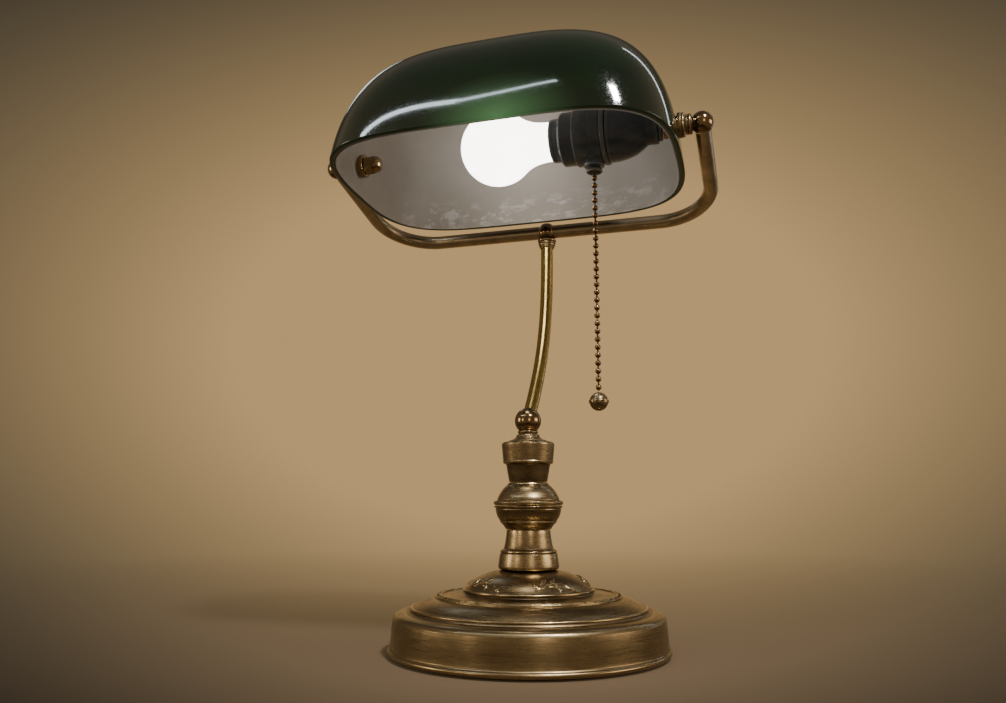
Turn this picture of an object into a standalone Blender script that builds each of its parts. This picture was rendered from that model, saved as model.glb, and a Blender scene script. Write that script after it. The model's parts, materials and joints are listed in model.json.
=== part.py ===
"""Banker desk lamp: weighted brass base and column, swan-neck arm on a swivel ball,
U-shaped yoke, cased-glass shade, pull-chain lampholder with bulb, and a bead chain.

Origin: centre of the felt pad's underside.  +Z up, +X along the shade towards the
lampholder, -Y towards the front.  Lengths are metres; MM turns millimetres into metres.
"""

import math

import bmesh
import bpy
from mathutils import Matrix, Vector

MM = 0.001
GAP = 0.3 * MM                      # clearance between touching pieces
MERGE = 0.00001

# ---------------------------------------------------------------- driving dimensions
BASE_RADIUS = 87.0 * MM             # to the outside of the rolled bead
FELT_THICKNESS = 1.5 * MM
ROD_RADIUS = 4.9 * MM               # threaded pipe through base and column
ROD_BORE = 3.5 * MM
COLUMN_BORE = ROD_RADIUS + GAP

BALL_CENTRE = Vector((0.0, 0.0, 143.3 * MM))
BALL_RADIUS = 7.9 * MM
BALL_WALL = 1.6 * MM
STUD_RADIUS = 2.6 * MM              # the swivel's hollow stud and its bore for the wires
STUD_BORE = 1.7 * MM

ARM_LEAN = math.radians(41.0)       # the arm leaves the ball leaning back by this much
ARM_RADIUS = 4.4 * MM
ARM_WALL = 1.0 * MM
TEE_CENTRE = Vector((0.0, 53.5 * MM, 286.3 * MM))
TEE_RADIUS = 6.9 * MM

PIVOT_Y = -43.1 * MM                # tilt axis of the shade, parallel to X
PIVOT_Z = 312.6 * MM
HALF_SPAN = 120.0 * MM              # middle of the lamp to the middle of an elbow ball
YOKE_RADIUS = 4.8 * MM
YOKE_WALL = 1.0 * MM
YOKE_BEND = 37.6 * MM
ELBOW_RADIUS = 7.0 * MM
NIPPLE_RADIUS = 3.9 * MM

SHADE_HALF_LENGTH = 107.6 * MM
SHADE_HALF_WIDTH = 72.8 * MM
SHADE_DEPTH = 85.0 * MM
SHADE_RIDGE = 43.5 * MM             # half-length of the crest line
SHADE_WALL = 3.0 * MM
SHADE_LEAN = math.radians(-5.4)     # the rim's back edge is lower than its front edge
RIM_CENTRE = Vector((0.0, -41.7 * MM, 292.6 * MM))
RIM_SQUARENESS = (4.6, 3.1)         # powers in the rim's outline |x/a|^m + |y/b|^n = 1
CREST_SQUARENESS = (3.1, 1.8)       # the same powers just under the crest

CHAIN_X = 55.0 * MM                 # the chain hangs here, on the tilt axis's plane
BEAD_RADIUS = 1.55 * MM
BEAD_PITCH = 4.74 * MM
LINK_RADIUS = 0.55 * MM
FIRST_BEAD_Z = 285.7 * MM           # the lowest bead of the lead, just under the bell mouth
END_BALL_RADIUS = 5.9 * MM
END_STUB = 0.6 * MM                 # bare wire between the last bead and the end ball
RUN_BEADS = 9                       # beads in each of the three runs that swing

PIVOT = Vector((0.0, PIVOT_Y, PIVOT_Z))
ARM_AXIS = Vector((0.0, math.sin(ARM_LEAN), math.cos(ARM_LEAN)))
YOKE_AXIS = (PIVOT - TEE_CENTRE).normalized()       # from the bar towards the elbows
YOKE_REACH = (PIVOT - TEE_CENTRE).length

# name: (base colour, metallic, roughness)
FINISHES = {
    "antique_brass": ((0.42, 0.28, 0.12), 1.0, 0.32),
    "polished_brass": ((0.60, 0.42, 0.17), 1.0, 0.2),
    "cast_iron": ((0.10, 0.10, 0.10), 0.9, 0.7),
    "zinc_steel": ((0.55, 0.55, 0.55), 1.0, 0.4),
    "felt": ((0.03, 0.12, 0.05), 0.0, 0.95),
    "rubber": ((0.03, 0.03, 0.03), 0.0, 0.8),
    "green_glass": ((0.01, 0.12, 0.03), 0.0, 0.08),
    "bakelite": ((0.015, 0.015, 0.016), 0.0, 0.3),
    "opal_glass": ((0.95, 0.93, 0.88), 0.0, 0.3),
    "nickel": ((0.65, 0.63, 0.58), 1.0, 0.25),
    "clear_glass": ((0.85, 0.9, 0.9), 0.0, 0.05),
    "tungsten": ((0.3, 0.3, 0.3), 1.0, 0.5),
}


# ---------------------------------------------------------------- shared helpers
def clear_scene():
    for obj in list(bpy.data.objects):
        bpy.data.objects.remove(obj, do_unlink=True)


def new_collection(name):
    collection = bpy.data.collections.new(name)
    bpy.context.scene.collection.children.link(collection)
    return collection


def mm_points(points):
    """A list of (radius, height) or (x, y, z) points given in millimetres, in metres."""
    return [tuple(value * MM for value in point) for point in points]


def material_for(name, finish):
    colour, metallic, roughness = FINISHES[finish]
    material = bpy.data.materials.new(name)
    material.use_nodes = True
    shader = material.node_tree.nodes["Principled BSDF"]
    shader.inputs["Base Color"].default_value = (*colour, 1.0)
    shader.inputs["Metallic"].default_value = metallic
    shader.inputs["Roughness"].default_value = roughness
    return material


def add_part(name, mesh, finish, location=(0, 0, 0), rotation=(0, 0, 0), parent=None):
    obj = bpy.data.objects.new(name, mesh)
    PARTS.objects.link(obj)
    obj.location = location
    obj.rotation_euler = rotation
    obj.parent = parent
    mesh.materials.clear()
    mesh.materials.append(material_for(name, finish))
    return obj


def add_empty(name, location, parent=None):
    empty = bpy.data.objects.new(name, None)
    empty.empty_display_size = 0.01
    empty.location = location
    empty.parent = parent
    PARTS.objects.link(empty)
    return empty


def arc(centre, radius, start, end, count):
    """Points on a circle in the (radius, height) plane; angles in degrees from +radius."""
    points = []
    for step in range(count + 1):
        angle = math.radians(start + (end - start) * step / count)
        points.append((centre[0] + radius * math.cos(angle), centre[1] + radius * math.sin(angle)))
    return points


def profile_mesh(name, profile, closed):
    """A bare outline in the XZ plane: (radius, height) points, outer side top to bottom."""
    mesh = bpy.data.meshes.new(name)
    edges = [(i, i + 1) for i in range(len(profile) - 1)]
    if closed:
        edges.append((len(profile) - 1, 0))
    mesh.from_pydata([(radius, 0.0, height) for radius, height in profile], edges, [])
    return mesh


def add_screw(obj, steps):
    screw = obj.modifiers.new("Turn", "SCREW")
    screw.axis = "Z"
    screw.angle = 2 * math.pi
    screw.steps = steps
    screw.render_steps = steps
    screw.use_merge_vertices = True
    screw.merge_threshold = MERGE
    screw.use_smooth_shade = True
    return screw


def turned(name, profile, finish, steps=24, along="Z", location=(0, 0, 0), parent=None, closed=True):
    """A turned piece.  closed: the outline is a loop round a bore; else it ends on the axis."""
    rotation = {"Z": (0, 0, 0), "X": (0, math.pi / 2, 0), "-X": (0, -math.pi / 2, 0),
                "Y": (-math.pi / 2, 0, 0)}[along]
    obj = add_part(name, profile_mesh(name, profile, closed), finish, location, rotation, parent)
    add_screw(obj, steps)
    return obj


def ring_profile(outer, inner, top, bottom):
    return [(outer, top), (outer, bottom), (inner, bottom), (inner, top)]


def wire_mesh(name, points, radius, resolution, caps):
    """The mesh of a round wire or tube along the points, its caps welded on."""
    curve = bpy.data.curves.new(name, "CURVE")
    curve.dimensions = "3D"
    curve.bevel_depth = radius
    curve.bevel_resolution = resolution
    curve.use_fill_caps = caps
    spline = curve.splines.new("POLY")
    spline.points.add(len(points) - 1)
    for spline_point, point in zip(spline.points, points):
        spline_point.co = (*point, 1.0)
    guide = bpy.data.objects.new(name + "_path", curve)
    CUTTERS.objects.link(guide)
    evaluated = guide.evaluated_get(bpy.context.evaluated_depsgraph_get())
    mesh = bpy.data.meshes.new_from_object(evaluated)
    bpy.data.objects.remove(guide, do_unlink=True)
    mesh.name = name
    shape = bmesh.new()
    shape.from_mesh(mesh)
    bmesh.ops.remove_doubles(shape, verts=shape.verts, dist=MERGE)
    shape.to_mesh(mesh)
    shape.free()
    return mesh


def tube(name, points, radius, wall, finish, parent=None):
    """A hollow tube with open ends along the points."""
    mesh = wire_mesh(name, points, radius, 3, caps=False)
    origin = parent.matrix_world.translation if parent else Vector((0, 0, 0))
    mesh.transform(Matrix.Translation(-origin))
    obj = add_part(name, mesh, finish, parent=parent)
    solidify = obj.modifiers.new("Wall", "SOLIDIFY")
    solidify.thickness = wall
    solidify.offset = -1.0
    solidify.use_even_offset = True
    return obj


def cylinder_cutter(name, radius, start, end, steps=16):
    """A solid rod from start to end (world places), used only for cutting or joining."""
    mesh = bpy.data.meshes.new(name)
    shape = bmesh.new()
    axis = Vector(end) - Vector(start)
    turn = Vector((0, 0, 1)).rotation_difference(axis.normalized()).to_matrix().to_4x4()
    place = Matrix.Translation((Vector(start) + Vector(end)) / 2) @ turn
    bmesh.ops.create_cone(shape, cap_ends=True, segments=steps, radius1=radius, radius2=radius,
                          depth=axis.length, matrix=place)
    shape.to_mesh(mesh)
    shape.free()
    return add_cutter(name, mesh)


def box_cutter(name, low, high):
    mesh = bpy.data.meshes.new(name)
    shape = bmesh.new()
    low = Vector(low)
    high = Vector(high)
    size = Matrix.Diagonal((*(high - low), 1.0))
    bmesh.ops.create_cube(shape, size=1.0, matrix=Matrix.Translation((low + high) / 2) @ size)
    shape.to_mesh(mesh)
    shape.free()
    return add_cutter(name, mesh)


def add_cutter(name, mesh):
    cutter = bpy.data.objects.new(name, mesh)
    CUTTERS.objects.link(cutter)
    cutter.hide_render = True
    cutter.display_type = "WIRE"
    return cutter


def boolean(obj, cutter, operation="DIFFERENCE"):
    modifier = obj.modifiers.new(cutter.name, "BOOLEAN")
    modifier.operation = operation
    modifier.solver = "EXACT"
    modifier.object = cutter


# ---------------------------------------------------------------- base and column
def build_base():
    turned("felt_pad", [(0, FELT_THICKNESS), (78 * MM, FELT_THICKNESS), (78 * MM, 0), (0, 0)],
           "felt", steps=24, closed=False)

    bead_radius = 2.3
    bead_middle = (BASE_RADIUS / MM - bead_radius, 3.4)
    hole = COLUMN_BORE / MM + 0.1
    outside = [(hole, 49.9), (17.5, 49.9), (28.4, 47.2), (35.4, 43.7), (40.9, 38.2), (42.2, 36.4),
               (53.2, 35.6)]
    outside += arc((56.2, 34.5), 2.2, 150, 10, 3)
    outside += [(65.5, 31.7), (71.2, 28.4)]
    outside += arc((73.3, 26.7), 1.8, 90, -50, 2)
    outside += arc((80.8, 22.4), 2.6, 90, 5, 2)
    outside += arc(bead_middle, bead_radius, 80, -90, 4)
    inside = [(82.3, 1.4), (81.6, 20.6), (79.6, 22.8), (71.9, 23.4), (69.6, 26.8), (57.5, 31.5),
              (44.0, 33.4), (35.4, 40.2), (20.0, 46.9), (hole, 48.1)]
    shell = turned("base_shell", mm_points(outside + inside), "antique_brass", steps=24)

    slab = [(hole, 46.2), (14.0, 46.2), (17.0, 18.0), (76.5, 14.0), (76.5, 1.8), (13.0, 1.8),
            (13.0, 11.6), (hole, 11.6)]
    weight = turned("base_weight", mm_points(slab), "cast_iron", steps=24)
    cable_way = box_cutter("cable_way", (-4.5 * MM, 8 * MM, 0), (4.5 * MM, 80 * MM, 17.2 * MM))
    boolean(weight, cable_way)

    turned("base_washer", mm_points(ring_profile(11.5, hole, 11.3, 9.8)), "zinc_steel", steps=12)
    turned("base_nut", mm_points(ring_profile(10.0, 6.1, 9.5, 4.2)), "zinc_steel", steps=6)

    gland_height = 13.5 * MM
    gland_hole = cylinder_cutter("gland_hole", 4.7 * MM, (0, 78 * MM, gland_height),
                                 (0, 90 * MM, gland_height))
    boolean(shell, gland_hole)
    gland = [(5.4, 86.6), (6.2, 86.0), (6.2, 85.3), (4.3, 85.3), (4.3, 81.0), (5.6, 81.0),
             (5.2, 79.4), (3.3, 79.4), (3.3, 86.6)]
    turned("cord_bushing", mm_points(gland), "bakelite", steps=12, along="Y",
           location=(0, 0, gland_height))

    turned("threaded_rod", mm_points(ring_profile(ROD_RADIUS / MM, ROD_BORE / MM, 130.6, 3.0)),
           "zinc_steel", steps=12)


def build_column():
    bore = COLUMN_BORE / MM
    foot = [(13.6, 74.6), (14.2, 69.4), (15.3, 63.3), (17.4, 61.0), (18.4, 53.2), (18.6, 51.6),
            (17.6, 50.3)]
    bowl = [(21.6, 89.6), (21.1, 88.2), (20.2, 87.0), (19.5, 84.3), (18.5, 81.4), (17.2, 79.2),
            (15.6, 77.5), (14.0, 74.9)]
    dome = [(11.6, 104.0), (12.4, 102.8), (14.6, 101.0), (16.8, 98.4), (19.0, 94.8), (20.6, 92.4),
            (21.5, 91.2), (21.7, 89.9)]
    collar = [(14.7, 129.6), (16.2, 127.4), (15.4, 119.8), (15.2, 118.2), (14.3, 117.0), (11.8, 104.3)]
    for name, outline in (("column_foot", foot), ("vase_lower", bowl), ("vase_upper", dome),
                          ("column_collar", collar)):
        top = outline[0][1]
        bottom = outline[-1][1]
        turned(name, mm_points(outline + [(bore, bottom), (bore, top)]), "antique_brass", steps=16)

    cap = [(8.4, 132.3), (9.2, 131.8), (11.2, 130.9), (14.2, 129.9), (bore, 129.9), (bore, 130.9),
           (2.9, 130.9), (2.9, 132.3)]
    turned("column_cap", mm_points(cap), "antique_brass", steps=16)


# ---------------------------------------------------------------- swivel inside the ball
def build_swivel():
    swivel = add_empty("swivel_axis", BALL_CENTRE)
    place = -BALL_CENTRE
    cup = [(5.55, 137.4), (6.6, 135.9), (6.3, 134.7), (7.6, 134.0), (8.2, 132.6), (2.9, 132.6),
           (2.9, 135.6), (4.2, 136.2)]
    turned("swivel_cup", mm_points(cup), "antique_brass", 16, location=place, parent=swivel)
    stud_radius = STUD_RADIUS / MM
    stud_bore = STUD_BORE / MM
    stud = [(stud_radius, 144.8), (stud_radius, 129.6), (3.2, 129.6), (3.2, 128.2), (stud_bore, 128.2),
            (stud_bore, 144.8)]
    turned("swivel_stud", mm_points(stud), "zinc_steel", 12, location=place, parent=swivel)
    middle = BALL_CENTRE.z / MM
    seat = 6.0
    washer = [(2.95, 140.3)] + [(r, middle - math.sqrt(seat ** 2 - r ** 2)) for r in (5.15, 4.3, 2.95)]
    turned("ball_washer", mm_points(washer), "zinc_steel", 16, location=place, parent=swivel)
    turned("ball_nut", mm_points(ring_profile(4.4, 3.4, 142.9, 140.6)), "zinc_steel", 6,
           location=place, parent=swivel)


# ---------------------------------------------------------------- arm and yoke
def arm_path(count):
    """Cubic curve from the ball, leaning back, to the ferrule, upright."""
    start = BALL_CENTRE + ARM_AXIS * 4.7 * MM
    end = Vector((0.0, TEE_CENTRE.y, TEE_CENTRE.z - TEE_RADIUS - GAP))
    first = BALL_CENTRE + ARM_AXIS * 60 * MM
    second = end - Vector((0, 0, 64 * MM))
    points = []
    for step in range(count + 1):
        t = step / count
        points.append((1 - t) ** 3 * start + 3 * (1 - t) ** 2 * t * first
                      + 3 * (1 - t) * t ** 2 * second + t ** 3 * end)
    return points


def yoke_path(side):
    """From inside the tee ball, along the bar, round the bend and up to the elbow ball."""
    corner_x = HALF_SPAN - YOKE_BEND
    points = [TEE_CENTRE + Vector((side * 1.6 * MM, 0, 0))]
    bend_steps = 9
    for step in range(bend_steps + 1):
        angle = math.pi / 2 * step / bend_steps
        across = corner_x + YOKE_BEND * math.sin(angle)
        points.append(TEE_CENTRE + Vector((side * across, 0, 0))
                      + YOKE_AXIS * YOKE_BEND * (1 - math.cos(angle)))
    elbow = TEE_CENTRE + Vector((side * HALF_SPAN, 0, 0)) + YOKE_AXIS * YOKE_REACH
    points.append(elbow - YOKE_AXIS * 4.8 * MM)
    return points


def ball_profile(radius, count=7):
    return arc((0, 0), radius, 90, -90, count)


def build_arm():
    arm = add_empty("arm_axis", BALL_CENTRE)
    bpy.context.view_layer.update()
    inner = BALL_RADIUS - BALL_WALL
    opening = 4.4 * MM
    outer_end = -math.degrees(math.acos(opening / BALL_RADIUS))
    inner_end = -math.degrees(math.acos(opening / inner))
    shell = arc((0, 0), BALL_RADIUS, 90, outer_end, 7) + arc((0, 0), inner, inner_end, 90, 6)
    ball = turned("arm_ball", shell, "polished_brass", 16, parent=arm, closed=False)
    hole = cylinder_cutter("arm_hole", ARM_RADIUS + GAP, BALL_CENTRE + ARM_AXIS * 3 * MM,
                           BALL_CENTRE + ARM_AXIS * 12 * MM)
    boolean(ball, hole)

    tube("arm_tube", arm_path(12), ARM_RADIUS, ARM_WALL, "antique_brass", parent=arm)

    below_tee = (TEE_CENTRE.z - TEE_RADIUS) / MM
    bore = (ARM_RADIUS + 2 * GAP) / MM
    ferrule = [(6.6, below_tee - 0.4), (6.9, below_tee - 1.1), (6.1, below_tee - 2.0),
               (6.5, below_tee - 2.9), (5.8, below_tee - 3.9), (6.1, below_tee - 4.8),
               (5.4, below_tee - 6.4), (bore, below_tee - 6.4), (bore, below_tee - 0.4)]
    over_ball = Vector((0, TEE_CENTRE.y, 0)) - BALL_CENTRE
    turned("arm_ferrule", mm_points(ferrule), "antique_brass", 14, location=over_ball, parent=arm)
    joint = ring_profile(2.8, 1.8, below_tee + 1.5, below_tee - 7.0)
    turned("tee_nipple", mm_points(joint), "zinc_steel", 12, location=over_ball, parent=arm)

    tee = turned("tee_ball", ball_profile(TEE_RADIUS), "polished_brass", 16,
                 location=TEE_CENTRE - BALL_CENTRE, parent=arm, closed=False)
    across = Vector((12 * MM, 0, 0))
    boolean(tee, cylinder_cutter("tee_cross_hole", YOKE_RADIUS + GAP, TEE_CENTRE - across,
                                 TEE_CENTRE + across))
    boolean(tee, cylinder_cutter("tee_stem_hole", 3.4 * MM, TEE_CENTRE - Vector((0, 0, 12 * MM)),
                                 TEE_CENTRE))

    for side, word in ((-1, "left"), (1, "right")):
        tube("yoke_" + word, yoke_path(side), YOKE_RADIUS, YOKE_WALL, "antique_brass", parent=arm)
        centre = PIVOT + Vector((side * HALF_SPAN, 0, 0))
        elbow = turned("elbow_" + word, ball_profile(ELBOW_RADIUS), "polished_brass", 14,
                       location=centre - BALL_CENTRE, parent=arm, closed=False)
        inward = Vector((-side, 0, 0))
        boolean(elbow, cylinder_cutter("elbow_tube_hole_" + word, YOKE_RADIUS + GAP,
                                       centre - YOKE_AXIS * 4.4 * MM, centre - YOKE_AXIS * 12 * MM))
        boolean(elbow, cylinder_cutter("elbow_nipple_hole_" + word, NIPPLE_RADIUS + GAP,
                                       centre - inward * 2 * MM, centre + inward * 12 * MM))
        boolean(elbow, cylinder_cutter("elbow_wire_hole_" + word, 2.4 * MM, centre,
                                       centre - YOKE_AXIS * 6 * MM))
        neck = [(5.2, 114.0), (6.2, 113.3), (6.2, 110.5), (4.2, 110.5), (4.2, 114.0)]
        turned("neck_ring_" + word, mm_points(neck), "antique_brass", 16,
               along="X" if side > 0 else "-X", location=PIVOT - BALL_CENTRE, parent=arm)


# ---------------------------------------------------------------- shade
def shade_outline(height):
    """Half-length, half-width and the two powers of the shade's outline at a height over the rim."""
    rise = min(height / SHADE_DEPTH, 1.0)
    half_length = SHADE_RIDGE + (SHADE_HALF_LENGTH - SHADE_RIDGE) * (1 - rise ** 1.78) ** (1 / 2.69)
    half_width = SHADE_HALF_WIDTH * math.sqrt(max(1 - rise ** 2.655, 0.0))
    powers = [low + (high - low) * rise for low, high in zip(RIM_SQUARENESS, CREST_SQUARENESS)]
    return half_length, half_width, powers


def outline_points(half_length, half_width, powers):
    """A rounded oblong |x/a|^m + |y/b|^n = 1, counter-clockwise."""
    points = []
    for step in range(32):
        angle = 2 * math.pi * step / 32
        across = math.copysign(abs(math.cos(angle)) ** (2 / powers[0]), math.cos(angle))
        along = math.copysign(abs(math.sin(angle)) ** (2 / powers[1]), math.sin(angle))
        points.append((half_length * across, half_width * along))
    return points


def build_shade_glass(parent):
    levels = 8
    rings = []
    for level in range(levels + 1):
        height = SHADE_DEPTH * math.sin(math.pi / 2 * level / levels)
        size = shade_outline(height)
        rings.append([Vector((x, y, height)) for x, y in outline_points(*size)])
    shape = bmesh.new()
    rows = [[shape.verts.new(point) for point in ring] for ring in rings]
    count = len(rows[0])
    for low, high in zip(rows, rows[1:]):
        for i in range(count):
            j = (i + 1) % count
            shape.faces.new((low[i], low[j], high[j], high[i]))
    bmesh.ops.remove_doubles(shape, verts=shape.verts, dist=MERGE)
    bmesh.ops.dissolve_degenerate(shape, dist=MERGE, edges=shape.edges)
    mesh = bpy.data.meshes.new("shade_glass")
    shape.to_mesh(mesh)
    shape.free()
    mesh.shade_smooth()
    glass = add_part("shade_glass", mesh, "green_glass", RIM_CENTRE - PIVOT, (SHADE_LEAN, 0, 0), parent)
    solidify = glass.modifiers.new("Wall", "SOLIDIFY")
    solidify.thickness = SHADE_WALL
    solidify.offset = -1.0
    solidify.use_even_offset = True
    for side, word in ((-1, "left"), (1, "right")):
        boolean(glass, cylinder_cutter("shade_hole_" + word, NIPPLE_RADIUS + 2 * GAP,
                                       PIVOT + Vector((side * 90 * MM, 0, 0)),
                                       PIVOT + Vector((side * 115 * MM, 0, 0))))
    return glass


def pivot_height_in_shade():
    """Height of the tilt axis over the rim, square to the rim."""
    offset = PIVOT - RIM_CENTRE
    return offset.z * math.cos(SHADE_LEAN) - offset.y * math.sin(SHADE_LEAN)


def end_wall():
    """Place of the end's outer face at the tilt axis, and its lean (metres in per metre up)."""
    height = pivot_height_in_shade()
    step = 5 * MM
    low = shade_outline(height - step)[0]
    high = shade_outline(height + step)[0]
    return (low + high) / 2, (high - low) / (2 * step)


def gasket(name, side, flat_x, slanted_x, lean, radius, parent):
    """A rubber ring whose one face lies flat on the metal and the other on the leaning glass."""
    mesh = bpy.data.meshes.new(name)
    shape = bmesh.new()
    steps = 16
    bore = NIPPLE_RADIUS + GAP
    up = Vector((0, -math.sin(SHADE_LEAN), math.cos(SHADE_LEAN)))
    loops = []
    for ring_radius, slanted in ((radius, False), (radius, True), (bore, True), (bore, False)):
        ring = []
        for step in range(steps):
            angle = 2 * math.pi * step / steps
            place = Vector((0, ring_radius * math.cos(angle), ring_radius * math.sin(angle)))
            x = slanted_x + lean * place.dot(up) if slanted else flat_x
            ring.append(shape.verts.new((side * x, place.y, place.z)))
        loops.append(ring)
    for ring, following in zip(loops, loops[1:] + loops[:1]):
        for i in range(steps):
            j = (i + 1) % steps
            shape.faces.new((ring[i], ring[j], following[j], following[i]))
    bmesh.ops.recalc_face_normals(shape, faces=shape.faces)
    shape.to_mesh(mesh)
    shape.free()
    return add_part(name, mesh, "rubber", parent=parent)


def build_shade(parent):
    build_shade_glass(parent)
    wall_x, lean = end_wall()
    outer_face = wall_x + 2.0 * MM      # where the collars press on the outer gaskets
    inner_face = wall_x - 5.4 * MM      # where the nuts press on the inner ones
    for side, word in ((-1, "left"), (1, "right")):
        along = "X" if side > 0 else "-X"
        gasket("gasket_outer_" + word, side, outer_face - GAP, wall_x + GAP, lean, 6.2 * MM, parent)
        gasket("gasket_inner_" + word, side, inner_face + GAP, wall_x - SHADE_WALL - 3 * GAP,
               lean, 6.8 * MM, parent)
        face = outer_face / MM
        collar = [(7.0, face + 2.3), (7.6, face + 1.7), (7.6, face - 0.5), (6.6, face - 0.5),
                  (6.6, face), (4.2, face), (4.2, face + 2.3)]
        turned("collar_" + word, mm_points(collar), "antique_brass", 16, along=along, parent=parent)

    inside = inner_face / MM
    turned("nipple_left", mm_points([(0, 119.0), (3.9, 119.0), (3.9, 91.5), (0, 91.5)]),
           "zinc_steel", 16, along="-X", parent=parent, closed=False)
    turned("nipple_right", mm_points(ring_profile(3.9, 2.8, 119.0, 82.0)), "zinc_steel", 16,
           along="X", parent=parent)
    turned("inner_washer", mm_points(ring_profile(7.3, 4.2, inside, inside - 1.5)),
           "polished_brass", 20, along="-X", parent=parent)
    nut_top = inside - 1.8
    acorn = [(0, nut_top - 9.4), (4.2, nut_top - 8.6), (4.2, nut_top), (6.4, nut_top),
             (6.4, nut_top - 4.6), (5.6, nut_top - 5.4), (5.3, nut_top - 8.0),
             (3.9, nut_top - 10.2), (0, nut_top - 11.2)]
    turned("acorn_nut", mm_points(acorn), "polished_brass", 12, along="-X", parent=parent, closed=False)
    turned("locknut", mm_points(ring_profile(7.6, 4.9, inside, inside - 2.6)), "polished_brass", 6,
           along="X", parent=parent)


# ---------------------------------------------------------------- lampholder
def build_lampholder(parent):
    collar = [(13.7, 34.5), (13.7, 30.5), (13.3, 29.0), (12.9, 29.0), (12.9, 34.5)]
    turned("socket_collar", mm_points(collar), "bakelite", 20, along="X", parent=parent)

    body = [(17.8, 64.2), (18.4, 63.7), (18.4, 61.9), (17.8, 61.3), (17.8, 44.9), (16.7, 43.9),
            (16.7, 35.9), (15.7, 34.8), (13.7, 34.8), (13.7, 49.1), (15.0, 49.1), (15.0, 64.2)]
    shell = turned("socket_body", mm_points(body), "bakelite", 20, along="X", parent=parent)
    below = PIVOT + Vector((CHAIN_X, 0, 0))
    down = Vector((0, 0, -MM))
    boss = cylinder_cutter("chain_boss", 6.3 * MM, below + down * 15.8, below + down * 19.8)
    boolean(shell, boss, "UNION")
    boolean(shell, cylinder_cutter("chain_hole", 3.4 * MM, below + down * 12, below + down * 24))

    cap = [(7.9, 94.6), (9.2, 94.0), (9.4, 87.2), (10.9, 85.2), (13.7, 81.4), (15.9, 76.0),
           (17.0, 70.4), (17.4, 64.5), (15.4, 64.5), (14.0, 73.0), (11.0, 80.0), (6.6, 84.0),
           (4.2, 85.0), (4.2, 94.6)]
    turned("socket_cap", mm_points(cap), "bakelite", 20, along="X", parent=parent)
    turned("socket_bushing", mm_points([(7.2, 97.0), (7.9, 96.4), (7.9, 94.9), (4.2, 94.9), (4.2, 97.0)]),
           "bakelite", 16, along="X", parent=parent)

    block = turned("switch_block", mm_points([(0, 63.0), (14.5, 63.0), (14.5, 50.1), (0, 50.1)]),
                   "bakelite", 20, along="X", parent=parent, closed=False)
    pulley_place = pulley_centre()
    half = Vector((2.6 * MM, 0, 0))
    pocket_low = pulley_place - half - Vector((0, 8.2 * MM, 18 * MM))
    pocket_high = pulley_place + half + Vector((0, 5.4 * MM, 5.4 * MM))
    boolean(block, box_cutter("pulley_pocket", pocket_low, pocket_high))
    axle = Vector((4.8 * MM, 0, 0))
    boolean(block, cylinder_cutter("axle_hole", 1.5 * MM, pulley_place - axle, pulley_place + axle, 12))

    turned("screw_shell", mm_points([(13.35, 49.5), (13.35, 35.5), (12.95, 35.5), (12.95, 48.8),
                                     (6.5, 48.8), (6.5, 49.5)]), "polished_brass", 20, along="X",
           parent=parent)
    turned("centre_contact", mm_points([(0, 49.7), (4.0, 49.7), (4.0, 49.1), (1.6, 48.4), (0, 48.4)]),
           "nickel", 12, along="X", parent=parent, closed=False)

    mouth = [(2.9, 296.0), (2.9, 292.6), (3.6, 291.8), (4.9, 290.2), (4.9, 288.6), (4.2, 288.4),
             (2.9, 290.4), (2.1, 292.2), (2.1, 296.0)]
    turned("bell_mouth", mm_points(mouth), "bakelite", 12,
           location=Vector((CHAIN_X, PIVOT_Y, 0)) - PIVOT, parent=parent)


def build_bulb(parent):
    globe = 23.6
    middle = -6.4
    wall = 0.9
    inner = arc((0, middle), globe - wall, -90, 38, 6) + [(12.7, 17.6), (11.0, 22.8), (10.3, 27.5)]
    outer = [(11.2, 27.5), (11.3, 23.3), (11.9, 22.4), (13.6, 17.6)] + arc((0, middle), globe, 38, -90, 6)
    turned("bulb_glass", mm_points(inner + outer), "opal_glass", 16, along="X", parent=parent,
           closed=False)
    crests = []
    for turn in range(4):
        crests += [(12.6, 40.9 - 4.4 * turn), (12.05, 38.7 - 4.4 * turn)]
    base = [(5.0, 45.5), (10.4, 43.5)] + crests + [(12.4, 23.4), (11.95, 23.4), (11.7, 42.7), (5.0, 44.7)]
    turned("bulb_base", mm_points(base), "nickel", 14, along="X", parent=parent)
    turned("bulb_insulator", mm_points([(0, 46.7), (2.4, 46.7), (4.6, 45.9), (4.6, 44.4), (0, 44.4)]),
           "bakelite", 12, along="X", parent=parent, closed=False)
    turned("bulb_contact", mm_points([(0, 48.0), (1.6, 47.8), (2.3, 47.0), (0, 47.0)]),
           "nickel", 12, along="X", parent=parent, closed=False)
    stem = [(0, 34.5), (2.6, 34.5), (2.6, 16.5), (1.5, 10.5), (1.5, 0.9), (0, 0.9)]
    turned("bulb_stem", mm_points(stem), "clear_glass", 10, along="X", parent=parent, closed=False)

    bow = []
    for step in range(9):
        angle = math.pi * step / 8
        bow.append(mm_points([(-1.5 - 4.0 * math.sin(angle), 9.0 * math.cos(angle), 0.0)])[0])
    add_part("bulb_filament", wire_mesh("bulb_filament", bow, 0.4 * MM, 1, caps=True), "tungsten",
             parent=parent)


# ---------------------------------------------------------------- pull switch and chain
def pulley_centre():
    return Vector((CHAIN_X, PIVOT_Y + 5.8 * MM, 309.0 * MM))


def build_pulley():
    axis = add_empty("pulley_axis", pulley_centre())
    outline = [(0, 4.4), (1.2, 4.4), (1.2, 1.6), (4.8, 1.6), (4.0, 0.4), (4.0, -0.4), (4.8, -1.6),
               (1.2, -1.6), (1.2, -4.4), (0, -4.4)]
    turned("switch_pulley", mm_points(outline), "polished_brass", 16, along="X", parent=axis,
           closed=False)


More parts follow.
